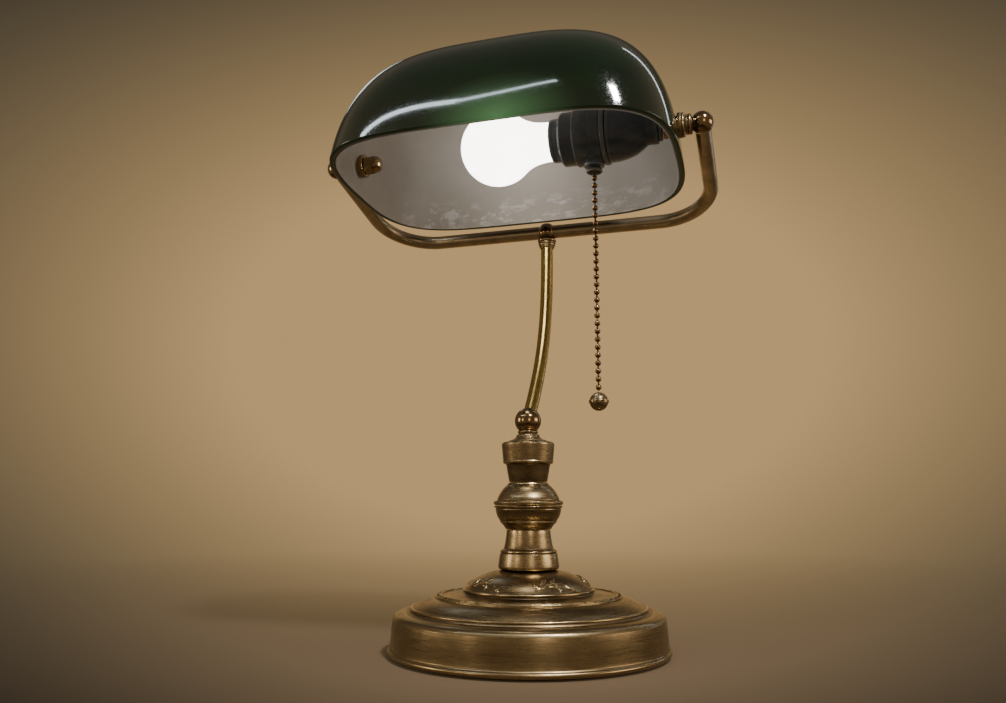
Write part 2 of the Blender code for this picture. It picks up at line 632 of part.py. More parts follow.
def bead_string(first, last, top_stub, bottom_stub):
    """Outline of beads first..last on their wire, as heights below the lead's lowest bead.
    A stub is the wire's length past the end bead; with none, that bead ends on the axis."""
    cut = math.degrees(math.asin(LINK_RADIUS / BEAD_RADIUS))
    points = []
    if top_stub:
        top = -first * BEAD_PITCH + BEAD_RADIUS + top_stub
        points += [(0.0, top), (LINK_RADIUS, top)]
    for bead in range(first, last + 1):
        start = 90 if bead == first and not top_stub else 90 - cut
        end = -90 if bead == last and not bottom_stub else cut - 90
        points += arc((0.0, -bead * BEAD_PITCH), BEAD_RADIUS, start, end, 3)
    if bottom_stub:
        bottom = -last * BEAD_PITCH - BEAD_RADIUS - bottom_stub
        points += [(LINK_RADIUS, bottom), (0.0, bottom)]
    return points


def build_chain():
    origin = Vector((CHAIN_X, PIVOT_Y, FIRST_BEAD_Z))
    lead = add_empty("chain_pull_axis", origin)
    turned("chain_lead", bead_string(-4, 0, 0, 0), "polished_brass", 6, parent=lead, closed=False)
    link = BEAD_PITCH - 2 * BEAD_RADIUS
    parent = lead
    parent_place = origin
    last = 0
    for name in ("chain_upper", "chain_middle", "chain_lower"):
        hinge_place = origin - Vector((0, 0, last * BEAD_PITCH))
        hinge = add_empty(name + "_axis", hinge_place - parent_place, parent)
        end_stub = END_STUB if name == "chain_lower" else 0
        beads = bead_string(last + 1, last + RUN_BEADS, link - GAP, end_stub)
        turned(name, beads, "polished_brass", 6, location=origin - hinge_place, parent=hinge,
               closed=False)
        last += RUN_BEADS
        parent = hinge
        parent_place = hinge_place
    drop = last * BEAD_PITCH + BEAD_RADIUS + END_STUB + GAP + END_BALL_RADIUS
    half_band = 0.6 * MM
    cup = END_BALL_RADIUS - 0.3 * MM    # each half is a little smaller than the band round the middle
    band = [(END_BALL_RADIUS, half_band), (END_BALL_RADIUS, -half_band)]
    turned("chain_ball", arc((0, 0), cup, 90, 8, 3) + band + arc((0, 0), cup, -8, -90, 3),
           "polished_brass", 12, location=origin - Vector((0, 0, drop)) - parent_place, parent=parent,
           closed=False)


def build_head():
    head = add_empty("shade_axis", PIVOT)
    build_shade(head)
    build_lampholder(head)
    build_bulb(head)


clear_scene()
PARTS = new_collection("banker_desk_lamp")
CUTTERS = new_collection("cutters")
build_base()
build_column()
build_swivel()
build_arm()
build_head()
build_pulley()
build_chain()
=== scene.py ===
"""Finished surfaces of the banker desk lamp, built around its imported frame.

Outlines are lists of (radius, height) in millimetres: heights over the table for the base
and column, and distances along the shade's tilt axis for what sits on that axis.
"""

import json
import math

import bmesh
import bpy
from mathutils import Matrix, Vector


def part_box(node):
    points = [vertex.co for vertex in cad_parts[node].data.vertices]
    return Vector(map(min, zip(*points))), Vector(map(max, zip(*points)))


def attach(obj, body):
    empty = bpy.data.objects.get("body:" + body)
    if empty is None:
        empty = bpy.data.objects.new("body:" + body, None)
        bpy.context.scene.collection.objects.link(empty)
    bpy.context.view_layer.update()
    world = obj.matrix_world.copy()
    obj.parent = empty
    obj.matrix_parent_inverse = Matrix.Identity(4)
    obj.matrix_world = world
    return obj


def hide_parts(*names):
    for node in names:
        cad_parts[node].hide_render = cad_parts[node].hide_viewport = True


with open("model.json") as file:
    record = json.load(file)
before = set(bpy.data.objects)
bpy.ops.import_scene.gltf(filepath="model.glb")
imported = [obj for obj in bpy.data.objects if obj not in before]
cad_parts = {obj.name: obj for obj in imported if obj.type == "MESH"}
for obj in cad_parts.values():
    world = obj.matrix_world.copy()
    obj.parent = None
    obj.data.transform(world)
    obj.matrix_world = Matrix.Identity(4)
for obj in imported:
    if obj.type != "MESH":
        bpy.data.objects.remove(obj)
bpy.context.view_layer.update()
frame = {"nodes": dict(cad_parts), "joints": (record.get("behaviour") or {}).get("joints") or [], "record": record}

MM = 0.001
RECORD = frame["record"]
JOINTS = {joint["name"]: joint for joint in frame["joints"]}
BODY_OF = {node: body for body, nodes in RECORD["behaviour"]["bodies"].items() for node in nodes}
SLOT_OF = {row["node"]: row["material_slot"] for row in RECORD["subparts"]}


def middle(node):
    low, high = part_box(node)
    return (low + high) / 2


BALL = Vector(JOINTS["arm_tilt"]["pos_m"])
PIVOT = Vector(JOINTS["shade_tilt"]["pos_m"])
TEE_RADIUS = 6.9 * MM
TEE = Vector((0.0, middle("tee_ball").y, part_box("tee_ball")[1].z - TEE_RADIUS))
ELBOW_RADIUS = 6.8 * MM
HALF_SPAN = 120.0 * MM
CHAIN_TOP = Vector(JOINTS["chain_hang"]["pos_m"])
BASE_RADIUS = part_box("base_shell")[1].x
SIDES = {"left": -1, "right": 1}
TILT_AXIS = Vector((0, PIVOT.y, PIVOT.z))
ELBOWS = {word: Vector((side * HALF_SPAN, PIVOT.y, PIVOT.z)) for word, side in SIDES.items()}
ALONG_X = {word: Matrix.Translation(TILT_AXIS) @ Matrix.Rotation(side * math.pi / 2, 4, "Y")
           for word, side in SIDES.items()}


# ---------------------------------------------------------------- camera
CAMERA_PLACE = Vector((0.1493, -0.5271, 0.0936))
CAMERA_PITCH = math.radians(99.87)
CAMERA_TURN = math.radians(17.5)
CAMERA_LENS = 30.37

camera_data = bpy.data.cameras.new("camera")
camera_data.lens = CAMERA_LENS
camera_data.sensor_width = 36.0
camera_data.clip_start = 0.01
camera = bpy.data.objects.new("camera", camera_data)
camera.location = CAMERA_PLACE
camera.rotation_euler = (CAMERA_PITCH, 0.0, CAMERA_TURN)
bpy.context.scene.collection.objects.link(camera)
bpy.context.scene.camera = camera


# ---------------------------------------------------------------- shader helpers
def add_node(tree, kind, inputs=None, **settings):
    made = tree.nodes.new("ShaderNode" + kind)
    for key, value in settings.items():
        setattr(made, key, value)
    for key, value in (inputs or {}).items():
        if isinstance(value, bpy.types.NodeSocket):
            tree.links.new(value, made.inputs[key])
        else:
            made.inputs[key].default_value = value
    return made


def maths(tree, operation, first, second=0.0):
    return add_node(tree, "Math", {0: first, 1: second}, operation=operation).outputs[0]


def total(tree, first, *others):
    for other in others:
        first = maths(tree, "ADD", first, other)
    return first


def product(tree, first, second):
    return maths(tree, "MULTIPLY", first, second)


def vectors(tree, operation, first, second=(0.0, 0.0, 0.0)):
    """Vector maths: the number where the operation gives one, and the vector otherwise."""
    made = add_node(tree, "VectorMath", {0: first, 1: second}, operation=operation)
    return made.outputs["Value" if operation in ("DISTANCE", "DOT_PRODUCT", "LENGTH") else "Vector"]


def split(tree, vector):
    return add_node(tree, "SeparateXYZ", {0: vector}).outputs


def joined(tree, x, y, z=0.0):
    return add_node(tree, "CombineXYZ", {0: x, 1: y, 2: z}).outputs[0]


def span(tree, value, low, high, to_low=0.0, to_high=1.0):
    """value, with low..high turned into to_low..to_high and clamped."""
    return add_node(tree, "MapRange", {"Value": value, "From Min": low, "From Max": high,
                                       "To Min": to_low, "To Max": to_high}).outputs["Result"]


def blend_colours(tree, share, first, second):
    mix = add_node(tree, "Mix", data_type="RGBA")
    for socket, value in ((mix.inputs[0], share), (mix.inputs[6], first), (mix.inputs[7], second)):
        if isinstance(value, bpy.types.NodeSocket):
            tree.links.new(value, socket)
        elif isinstance(value, (tuple, list)):
            socket.default_value = (*value, 1.0)
        else:
            socket.default_value = value
    return mix.outputs[2]


def noise(tree, vector, scale, detail=3.0, roughness=0.55):
    return add_node(tree, "TexNoise", {"Vector": vector, "Scale": scale, "Detail": detail,
                                       "Roughness": roughness}).outputs["Fac"]


def bump(tree, height, distance, strength=1.0):
    return add_node(tree, "Bump", {"Height": height, "Distance": distance,
                                   "Strength": strength}).outputs["Normal"]


def new_material(name, **fixed):
    material = bpy.data.materials.new(name)
    material.use_nodes = True
    tree = material.node_tree
    shader = tree.nodes["Principled BSDF"]
    for key, value in fixed.items():
        shader.inputs[key.replace("_", " ")].default_value = value
    return material, tree, shader


def drive(tree, shader, **sockets):
    """Links each output to the shader's socket of that name, with spaces for its underscores."""
    for key, output in sockets.items():
        tree.links.new(output, shader.inputs[key.replace("_", " ")])


def place_of(tree):
    return add_node(tree, "TexCoord").outputs["Object"]


def wear_of(tree):
    return add_node(tree, "Attribute", attribute_name="wear").outputs["Fac"]


def scaled(tree, vector, factors):
    return vectors(tree, "MULTIPLY", vector, factors)


def round_place(tree, vector, fine, around):
    """Coordinates that vary fast along a turned piece's outline and slowly round its axis."""
    x, y, z = split(tree, vector)
    radius = vectors(tree, "LENGTH", joined(tree, x, y))
    angle = maths(tree, "ARCTAN2", y, x)
    return joined(tree, product(tree, radius, fine), product(tree, angle, around), product(tree, z, fine))


# ---------------------------------------------------------------- materials
# the places and reaches of the painted glows of the bulb's light and of the smears, in the lamp's own frame
GLOW_PLACE = (0.015, -0.113, 0.300)
GLOW_SIZE = (0.050, 0.040, 0.030)
GLOW_STRENGTH = 0.22
# painted glow of the bulb's light on the lining: a patch near the bulb, and an even glow dimmer toward the left
# end
LINING_GLOW_PLACE = (-0.028, 0.026, 0.340)
LINING_GLOW_REACH = (0.015, 0.085)
LINING_GLOW_STRENGTH = 0.16
LINING_DIM_END = (-0.09, -0.01)
LINING_EVEN_GLOW = (0.008, 0.066)
SMEAR_HEIGHTS = (0.300, 0.309)
SMEAR_DEPTHS = (0.005, 0.02)
BULB_GLOW = 8.0
RUBBED_BRIGHTER = 1.28


def brass(name, bright, dark, roughness, brushed="turned", patina=0.5, coat=0.35, grain=1.0):
    """Lacquered brass: brushed round the turning or along the tube, tarnished in broad
    clouds and in the grooves, and rubbed bright on the edges."""
    material, tree, shader = new_material(name, Metallic=1.0, Coat_Weight=coat, Coat_Roughness=0.06)
    place = place_of(tree)
    if brushed == "turned":
        lines = noise(tree, round_place(tree, place, 1500.0, 3.5), 1.0, 4.0, 0.65)
        bands = noise(tree, round_place(tree, place, 420.0, 2.0), 1.0, 2.0)
        shader.inputs["Anisotropic"].default_value = 0.55
        drive(tree, shader, Tangent=add_node(tree, "Tangent", direction_type="RADIAL", axis="Z").outputs[0])
    elif brushed == "drawn":
        along = add_node(tree, "UVMap").outputs[0]
        lines = noise(tree, scaled(tree, along, (14.0, 34.0, 1.0)), 1.0, 4.0, 0.65)
        bands = noise(tree, scaled(tree, along, (5.0, 11.0, 1.0)), 1.0, 2.0)
    else:
        lines = noise(tree, place, 900.0, 3.0)
        bands = noise(tree, place, 190.0, 3.0)
    clouds = noise(tree, place, 75.0, 6.0, 0.6)
    specks = noise(tree, place, 1300.0, 2.0, 0.5)
    worn = wear_of(tree)
    tarnish = total(tree, span(tree, clouds, 0.38, 0.66, 0.0, patina),
                    span(tree, bands, 0.35, 0.75, 0.0, 0.25),
                    span(tree, specks, 0.66, 0.76, 0.0, 0.35),
                    span(tree, worn, -1.0, 0.0, 0.75, 0.0))
    tarnish = maths(tree, "MINIMUM", tarnish, 1.0)
    colour = blend_colours(tree, tarnish, bright, dark)
    lighter_edges = tuple(channel * RUBBED_BRIGHTER for channel in bright)
    colour = blend_colours(tree, span(tree, worn, 0.15, 0.9, 0.0, 0.85), colour, lighter_edges)
    rough = total(tree, span(tree, lines, 0.3, 0.7, -0.07 * grain, 0.09 * grain), roughness,
                  product(tree, tarnish, 0.10), span(tree, worn, 0.2, 1.0, 0.0, -0.08))
    drive(tree, shader, Base_Color=colour, Roughness=maths(tree, "MAXIMUM", rough, 0.04),
          Normal=bump(tree, lines, 0.00004 * grain, 0.55))
    return material


def painted(name, colour, other, roughness, depth=0.00006, **fixed):
    """A finish with a mottled colour, uneven gloss and a fine skin, for the smaller materials."""
    material, tree, shader = new_material(name, **fixed)
    place = place_of(tree)
    coarse = noise(tree, place, 350.0, 5.0)
    fine = noise(tree, place, 1750.0, 3.0)
    drive(tree, shader, Base_Color=blend_colours(tree, span(tree, coarse, 0.35, 0.65), colour, other),
          Roughness=span(tree, fine, 0.3, 0.7, roughness * 0.8, roughness * 1.25),
          Normal=bump(tree, fine, depth, 0.5))
    return material


def bakelite_material():
    """Black moulded resin: glossy, with faint flow marks, fine scratches, and edges painted lighter grey, partly
    rubbed wear and partly a painted highlight.
    """
    material, tree, shader = new_material("bakelite_black", IOR=1.5)
    place = place_of(tree)
    flow = noise(tree, round_place(tree, place, 160.0, 2.5), 1.0, 4.0)
    scratch = noise(tree, round_place(tree, place, 900.0, 1.2), 1.0, 5.0, 0.7)
    colour = blend_colours(tree, span(tree, flow, 0.35, 0.7), (0.052, 0.066, 0.084), (0.072, 0.088, 0.108))
    # convex edges painted lighter grey: partly rubbed wear, partly a painted edge highlight
    lighter_edges = span(tree, wear_of(tree), 0.25, 1.0, 0.0, 0.75)
    drive(tree, shader, Base_Color=blend_colours(tree, lighter_edges, colour, (0.16, 0.17, 0.18)),
          Roughness=span(tree, scratch, 0.3, 0.75, 0.09, 0.15), Normal=bump(tree, scratch, 0.00001, 0.2))
    return material


def casing_material():
    """Dark green glass over an opal lining; near the bulb a painted glow stands in for the lamp's light shining
    through.
    """
    material, tree, shader = new_material("green_cased_glass", Coat_Roughness=0.02, IOR=1.52)
    place = place_of(tree)
    swirl = noise(tree, scaled(tree, place, (9.0, 26.0, 26.0)), 1.0, 3.0)
    seeds = noise(tree, place, 700.0, 2.0)
    ripple = noise(tree, place, 22.0, 2.0)
    lip = wear_of(tree)
    colour = blend_colours(tree, span(tree, swirl, 0.35, 0.68),
                           (0.0016, 0.0052, 0.0020), (0.0014, 0.013, 0.0018))
    gloss = span(tree, seeds, 0.4, 0.8, 0.07, 0.16)
    # painted glow: emission near the bulb that stands in for its light shining through the glass
    near = vectors(tree, "SUBTRACT", place, GLOW_PLACE)
    away = vectors(tree, "LENGTH", scaled(tree, near, tuple(1.0 / size for size in GLOW_SIZE)))
    glow = maths(tree, "POWER", span(tree, away, 0.0, 1.0, 1.0, 0.0), 1.7)
    drive(tree, shader, Base_Color=blend_colours(tree, lip, colour, (0.007, 0.032, 0.017)),
          Coat_Weight=span(tree, lip, 0.0, 1.0, 0.8, 0.12),
          Roughness=total(tree, gloss, product(tree, lip, 0.3)),
          Normal=bump(tree, ripple, 0.0006, 0.12),
          Emission_Strength=product(tree, glow, GLOW_STRENGTH))
    shader.inputs["Emission Color"].default_value = (0.35, 0.85, 0.33, 1.0)
    return material


def lining_material():
    """Opal white lining, glossy, with the faint clouds of blown glass, a little dust, the smears left
    along the back edge where the glass is wiped, and a painted glow of the bulb's light, dimmer to the left."""
    material, tree, shader = new_material("opal_lining", Specular_IOR_Level=0.3)
    place = place_of(tree)
    x, y, z = split(tree, place)
    clouds = noise(tree, place, 28.0, 7.0, 0.62)
    dust = noise(tree, place, 240.0, 4.0)
    colour = blend_colours(tree, span(tree, clouds, 0.32, 0.7), (0.156, 0.131, 0.103), (0.198, 0.173, 0.142))
    colour = blend_colours(tree, span(tree, dust, 0.62, 0.8, 0.0, 0.35), colour, (0.11, 0.094, 0.078))
    back_edge = product(tree, span(tree, z, *SMEAR_HEIGHTS, 1.0, 0.0), span(tree, y, *SMEAR_DEPTHS))
    smear = noise(tree, scaled(tree, place, (1.0, 1.0, 1.9)), 85.0, 7.0, 0.7)
    smear = product(tree, product(tree, span(tree, smear, 0.5, 0.62), back_edge), 0.55)
    # painted glow: emission standing in for the bulb's light on the lining; the even part is dimmer toward the
    # left end, a painted shade
    near = vectors(tree, "DISTANCE", place, LINING_GLOW_PLACE)
    glow = maths(tree, "POWER", span(tree, near, *LINING_GLOW_REACH, 1.0, 0.0), 2.0)
    even = span(tree, x, *LINING_DIM_END, *LINING_EVEN_GLOW)
    drive(tree, shader, Base_Color=blend_colours(tree, smear, colour, (0.42, 0.41, 0.39)),
          Roughness=span(tree, clouds, 0.3, 0.7, 0.42, 0.55),
          Normal=bump(tree, clouds, 0.0004, 0.12),
          Emission_Strength=total(tree, product(tree, glow, LINING_GLOW_STRENGTH), even))
    shader.inputs["Emission Color"].default_value = (1.0, 0.93, 0.83, 1.0)
    return material


def bulb_material():
    """White coated lamp glass, lit, a little brighter in faint clouds."""
    material, tree, shader = new_material("lit_opal_bulb", Roughness=0.25, Coat_Weight=0.3)
    clouds = noise(tree, place_of(tree), 60.0, 2.0)
    drive(tree, shader, Base_Color=blend_colours(tree, clouds, (0.92, 0.90, 0.86), (0.98, 0.97, 0.94)),
          Emission_Strength=span(tree, clouds, 0.3, 0.7, BULB_GLOW * 0.92, BULB_GLOW * 1.08))
    shader.inputs["Emission Color"].default_value = (1.0, 0.965, 0.90, 1.0)
    return material


def felt_material():
    """Dark green felt with a mottled pile and fine hairs."""
    material, tree, shader = new_material("green_felt", Roughness=0.95, Sheen_Weight=0.5,
                                          Sheen_Roughness=0.5)
    place = place_of(tree)
    hairs = noise(tree, scaled(tree, place, (1.0, 1.0, 0.6)), 1400.0, 5.0, 0.7)
    pile = span(tree, noise(tree, place, 160.0, 4.0), 0.3, 0.7)
    drive(tree, shader, Base_Color=blend_colours(tree, pile, (0.012, 0.045, 0.02), (0.03, 0.085, 0.04)),
          Normal=bump(tree, hairs, 0.0003, 0.6))
    return material


ANTIQUE = brass("antique_brass_turned", (0.315, 0.232, 0.122), (0.13, 0.090, 0.046), 0.25, coat=0.12)
ARM_BRASS = brass("antique_brass_arm", (0.57, 0.42, 0.135), (0.25, 0.165, 0.05), 0.17, "drawn",
                  patina=0.4, coat=0.15)
YOKE_BRASS = brass("antique_brass_yoke", (0.50, 0.39, 0.25), (0.24, 0.18, 0.11), 0.3, "drawn", coat=0.2)
POLISHED = brass("polished_brass", (0.33, 0.222, 0.102), (0.14, 0.083, 0.035), 0.12, "none",
                 patina=0.45, coat=0.5, grain=0.4)
CHAIN_BRASS = brass("chain_brass", (0.20, 0.125, 0.055), (0.07, 0.04, 0.017), 0.2, "none",
                    patina=0.7, grain=0.5)
PULL_BRASS = brass("pull_ball_brass", (0.36, 0.27, 0.15), (0.17, 0.12, 0.065), 0.26, "none",
                   patina=0.6, coat=0.12)
BAKELITE = bakelite_material()
CASING = casing_material()
LINING = lining_material()
BULB = bulb_material()
FELT = felt_material()
STEEL = painted("zinc_steel", (0.55, 0.55, 0.54), (0.38, 0.38, 0.36), 0.35, Metallic=1.0)
IRON = painted("cast_iron", (0.055, 0.052, 0.05), (0.10, 0.085, 0.07), 0.75, depth=0.0003, Metallic=0.6)
RUBBER = painted("black_rubber", (0.018, 0.018, 0.018), (0.035, 0.034, 0.033), 0.7)
NICKEL = painted("nickel_plate", (0.62, 0.60, 0.55), (0.45, 0.42, 0.37), 0.25, Metallic=1.0)
CLEAR = painted("clear_glass", (0.85, 0.9, 0.9), (0.9, 0.94, 0.94), 0.05, Transmission_Weight=0.9)
TUNGSTEN = painted("tungsten_wire", (0.3, 0.3, 0.3), (0.2, 0.2, 0.21), 0.5, Metallic=1.0)
BY_SLOT = {"antique_brass": ANTIQUE, "polished_brass": POLISHED, "chain_brass": CHAIN_BRASS,
           "cast_iron": IRON, "zinc_steel": STEEL, "felt": FELT, "rubber": RUBBER,
           "green_glass": CASING, "bakelite": BAKELITE, "opal_glass": BULB, "nickel": NICKEL,
           "clear_glass": CLEAR, "tungsten": TUNGSTEN}
for node, obj in frame["nodes"].items():
    obj.data.materials.clear()
    obj.data.materials.append(BY_SLOT[SLOT_OF[node]])


# ---------------------------------------------------------------- outlines and meshes
def arc(centre, radius, start, end, count=10):
    points = []
    for step in range(count + 1):
        angle = math.radians(start + (end - start) * step / count)
        points.append((centre[0] + radius * math.cos(angle), centre[1] + radius * math.sin(angle)))
    return points


def curve_through(points, count=6):
    """A smooth (Catmull-Rom) line through the points, with count steps between each two."""
    made = []
    padded = [points[0], *points, points[-1]]
    for a, b, c, d in zip(padded, padded[1:], padded[2:], padded[3:]):
        for step in range(count):
            t = step / count
            made.append(tuple(
                0.5 * (2 * q + (r - p) * t + (2 * p - 5 * q + 4 * r - s) * t * t
                       + (3 * q - p - 3 * r + s) * t ** 3)
                for p, q, r, s in zip(a, b, c, d)))
    made.append(tuple(points[-1]))
    return made


FILLET_STEPS = 4


def filleted(points, radius, closed, least_turn):
    """The outline with its corners rounded; the ends of an open outline stay."""
    made = []
    total = len(points)
    for index, point in enumerate(points):
        here = Vector(point)
        if not closed and index in (0, total - 1):
            made.append(tuple(here))
            continue
        back = Vector(points[index - 1]) - here
        ahead = Vector(points[(index + 1) % total]) - here
        turn = 180.0 - math.degrees(back.angle(ahead))
        if turn < least_turn:
            made.append(tuple(here))
            continue
        reach = radius * math.tan(math.radians(turn / 2))
        reach = min(reach, 0.45 * back.length, 0.45 * ahead.length)
        start = here + back.normalized() * reach
        end = here + ahead.normalized() * reach
        for step in range(FILLET_STEPS + 1):
            t = step / FILLET_STEPS
            made.append(tuple(start * (1 - t) ** 2 + here * 2 * t * (1 - t) + end * t * t))
    return made


WEAR_REACH = 0.9             # millimetres over which the wear of an edge fades
WEAR_TURN = 55.0             # degrees of turn that make an edge fully worn


def wear_along(points, closed):
    """+1 on the outline's convex edges and -1 in its grooves."""
    total = len(points)
    turns = []
    for index in range(total):
        before = Vector(points[index - 1]) if closed or index else Vector(points[index])
        after = Vector(points[(index + 1) % total]) if closed or index < total - 1 else Vector(points[index])
        first = Vector(points[index]) - before
        second = after - Vector(points[index])
        if first.length < 1e-6 or second.length < 1e-6:
            turns.append(0.0)
        else:
            turns.append(-math.degrees(first.angle_signed(second, 0.0)))
    area = sum(points[i - 1][0] * points[i][1] - points[i][0] * points[i - 1][1] for i in range(total))
    sign = 1.0 if area > 0 else -1.0
    made = []
    for point in points:
        total_turn = 0.0
        for other, turn in zip(points, turns):
            apart = math.dist(point, other)
            if apart < WEAR_REACH:
                total_turn += turn * (1.0 - apart / WEAR_REACH)
        made.append(max(-1.0, min(1.0, sign * total_turn / WEAR_TURN)))
    return made


def new_shape():
    """An empty shape, and a function that adds a point to it at a place, with its wear."""
    shape = bmesh.new()
    wear_layer = shape.verts.layers.float.new("wear")

    def point(place, worn=0.0):
        vert = shape.verts.new(place)
        vert[wear_layer] = worn
        return vert

    return shape, point


def round_z(radius, angle, height):
    """The place at an angle round Z, from a radius and a height in millimetres."""
    return Vector((radius * MM * math.cos(angle), radius * MM * math.sin(angle), height * MM))


def bridge(shape, low, high):
    """A band of faces between two rings of points."""
    count = len(low)
    faces = []
    for i in range(count):
        j = (i + 1) % count
        faces.append(shape.faces.new((low[i], low[j], high[j], high[i])))
    return faces


def finish_mesh(name, shape, sharp=40.0):
    """The shape's mesh, smooth but for the edges that turn by more than sharp degrees."""
    bmesh.ops.remove_doubles(shape, verts=shape.verts, dist=1e-7)
    bmesh.ops.recalc_face_normals(shape, faces=shape.faces)
    mesh = bpy.data.meshes.new(name)
    shape.to_mesh(mesh)
    shape.free()
    mesh.shade_smooth()
    mesh.set_sharp_from_angle(angle=math.radians(sharp))
    return mesh


def lathe(name, outline, steps, closed=True, ripple=None):
    """Turns the outline (millimetres) round local Z.  ripple(radius, height, angle) adds to the radius."""
    shape, point = new_shape()
    wear = wear_along(outline, closed)
    columns = []
    for step in range(steps):
        angle = 2 * math.pi * step / steps
        column = []
        for (radius, height), worn in zip(outline, wear):
            extra = ripple(radius, height, angle) if ripple and radius > 0 else 0.0
            column.append(point(round_z(max(radius, 0.0) + extra, angle, height), worn))
        columns.append(column)
    count = len(outline)
    last = count if closed else count - 1
    for step in range(steps):
        here = columns[step]
        there = columns[(step + 1) % steps]
        for i in range(last):
            j = (i + 1) % count
            corners = [here[i], there[i], there[j], here[j]]
            if outline[i][0] <= 0 and outline[j][0] <= 0:
                continue
            if outline[i][0] <= 0:
                corners = [here[i], there[j], here[j]]
            elif outline[j][0] <= 0:
                corners = [here[i], there[i], here[j]]
            shape.faces.new(corners)
    return finish_mesh(name, shape)


TUBE_WALL = 1.0 * MM
TUBE_SIDES = 48
TUBE_UV_LENGTH = 20 * MM


def swept(name, path, radius):
    """A round tube along the path (metres), with UVs running along it and round it."""
    shape, point = new_shape()
    uv_layer = shape.loops.layers.uv.new("UVMap")
    normal = Vector((1, 0, 0))
    if abs((path[1] - path[0]).normalized().dot(normal)) > 0.9:
        normal = Vector((0, 0, 1))
    angles = [2 * math.pi * step / TUBE_SIDES for step in range(TUBE_SIDES)]
    rings = []
    lengths = [0.0]
    for index, here in enumerate(path):
        ahead = path[min(index + 1, len(path) - 1)] - path[max(index - 1, 0)]
        ahead.normalize()
        normal = (normal - ahead * normal.dot(ahead)).normalized()
        side = ahead.cross(normal)
        if index:
            lengths.append(lengths[-1] + (here - path[index - 1]).length)
        rings.append([[point(here + (normal * math.cos(angle) + side * math.sin(angle)) * size)
                       for angle in angles]
                      for size in (radius, radius - TUBE_WALL)])
    for index in range(len(path) - 1):
        runs = (lengths[index], lengths[index], lengths[index + 1], lengths[index + 1])
        for low, high in zip(rings[index], rings[index + 1]):
            for step, face in enumerate(bridge(shape, low, high)):
                shares = (step, step + 1, step + 1, step)
                for loop, share, run in zip(face.loops, shares, runs):
                    loop[uv_layer].uv = (run / TUBE_UV_LENGTH, share / TUBE_SIDES)
    for outer, inner in (rings[0], rings[-1]):
        bridge(shape, outer, inner)
    return finish_mesh(name, shape, 50.0)


def stand_in(name, mesh, material, *nodes, place=None, body=None, slot=None):
    """Puts the mesh in place, on the body of the CAD nodes that it replaces, and hides those nodes."""
    mesh.materials.append(material)
    obj = bpy.data.objects.new(name, mesh)
    bpy.context.scene.collection.objects.link(obj)
    if place is not None:
        obj.matrix_world = place
    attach(obj, body or BODY_OF[nodes[0]])
    slot or SLOT_OF[nodes[0]]
    if nodes:
        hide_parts(*nodes)
    return obj


def turned(name, material, node, outline, fillet, steps, place=None, closed=True, least_turn=18.0,
           ripple=None, body=None, slot=None):
    """A lathe-turned piece in place of a CAD node, its outline's corners rounded by fillet."""
    if fillet:
        outline = filleted(outline, fillet, closed, least_turn)
    mesh = lathe(name, outline, steps, closed, ripple)
    nodes = (node,) if node else ()
    return stand_in(name, mesh, material, *nodes, place=place, body=body, slot=slot)


# ---------------------------------------------------------------- base
DOME = [(17.4, 49.9), (20.4, 49.5), (24.6, 48.5), (28.6, 47.1), (32.4, 45.3), (35.6, 43.2), (38.2, 40.9),
        (39.8, 39.2)]


def build_base():
    outside = [(5.4, 49.9)]
    outside += curve_through(DOME, 6)
    outside += arc((40.2, 38.3), 0.95, 70, -70, 8)
    outside += [(41.4, 36.6), (44.5, 35.7), (50.0, 35.4), (53.2, 35.2), (59.4, 33.9)]
    outside += curve_through([(59.8, 33.8), (63.0, 32.9), (66.0, 31.6), (69.0, 29.9), (71.4, 28.3)], 6)
    outside += arc((72.4, 27.6), 1.1, 100, -40, 8)
    outside += [(73.8, 25.9), (75.4, 25.2), (76.3, 25.6), (77.0, 25.8)]
    outside += curve_through([(77.8, 25.75), (80.0, 25.4), (82.0, 24.7), (83.3, 23.5), (84.1, 22.0)], 6)
    outside += [(84.5, 18.0), (85.1, 11.0), (85.35, 7.4)]
    outside += curve_through([(85.45, 6.6), (85.6, 5.6), (86.0, 4.9)], 4)
    bead = 1.75
    bead_middle = (BASE_RADIUS / MM - bead, 3.05)
    outside += arc(bead_middle, bead, 66, -90, 14)
    inside = [(82.3, 1.4), (81.6, 20.6), (79.6, 22.8), (71.9, 23.4), (69.6, 26.8), (57.5, 31.5),
              (44.0, 33.4), (35.4, 40.2), (20.0, 46.9), (5.4, 48.1)]
    turned("base_cover", ANTIQUE, "base_shell", outside + inside, 0.35, 240)
    build_rope_ring()
    build_sprays()

    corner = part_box("felt_pad")[1]
    felt_radius = corner.x / MM
    thickness = corner.z / MM
    felt = [(0, thickness), (felt_radius, thickness), (felt_radius, 0.0), (0, 0.0)]
    turned("felt_disc", FELT, "felt_pad", felt, 0.5, 160, closed=False)

    gland = [(5.4, 86.6), (6.2, 86.0), (6.2, 85.3), (4.3, 85.3), (4.3, 81.0), (5.6, 81.0), (5.2, 79.4),
             (3.3, 79.4), (3.3, 86.6)]
    height = Matrix.Translation((0, 0, middle("cord_bushing").z))
    toward_back = height @ Matrix.Rotation(-math.pi / 2, 4, "X")
    turned("cord_grommet", BAKELITE, "cord_bushing", gland, 0.3, 64, toward_back)


ROPE_BARS = 42
ROPE_STEPS = 12              # steps of the lathe for each bar
ROPE_CHANNEL = (55.3, 57.2)  # the radii between which the bars lie
ROPE_LOWEST = 34.4           # the channel's top surface is higher than this
BAR_SHARE = 0.13             # half a bar's width, as a share of the pitch
BAR_HEIGHT = 0.6


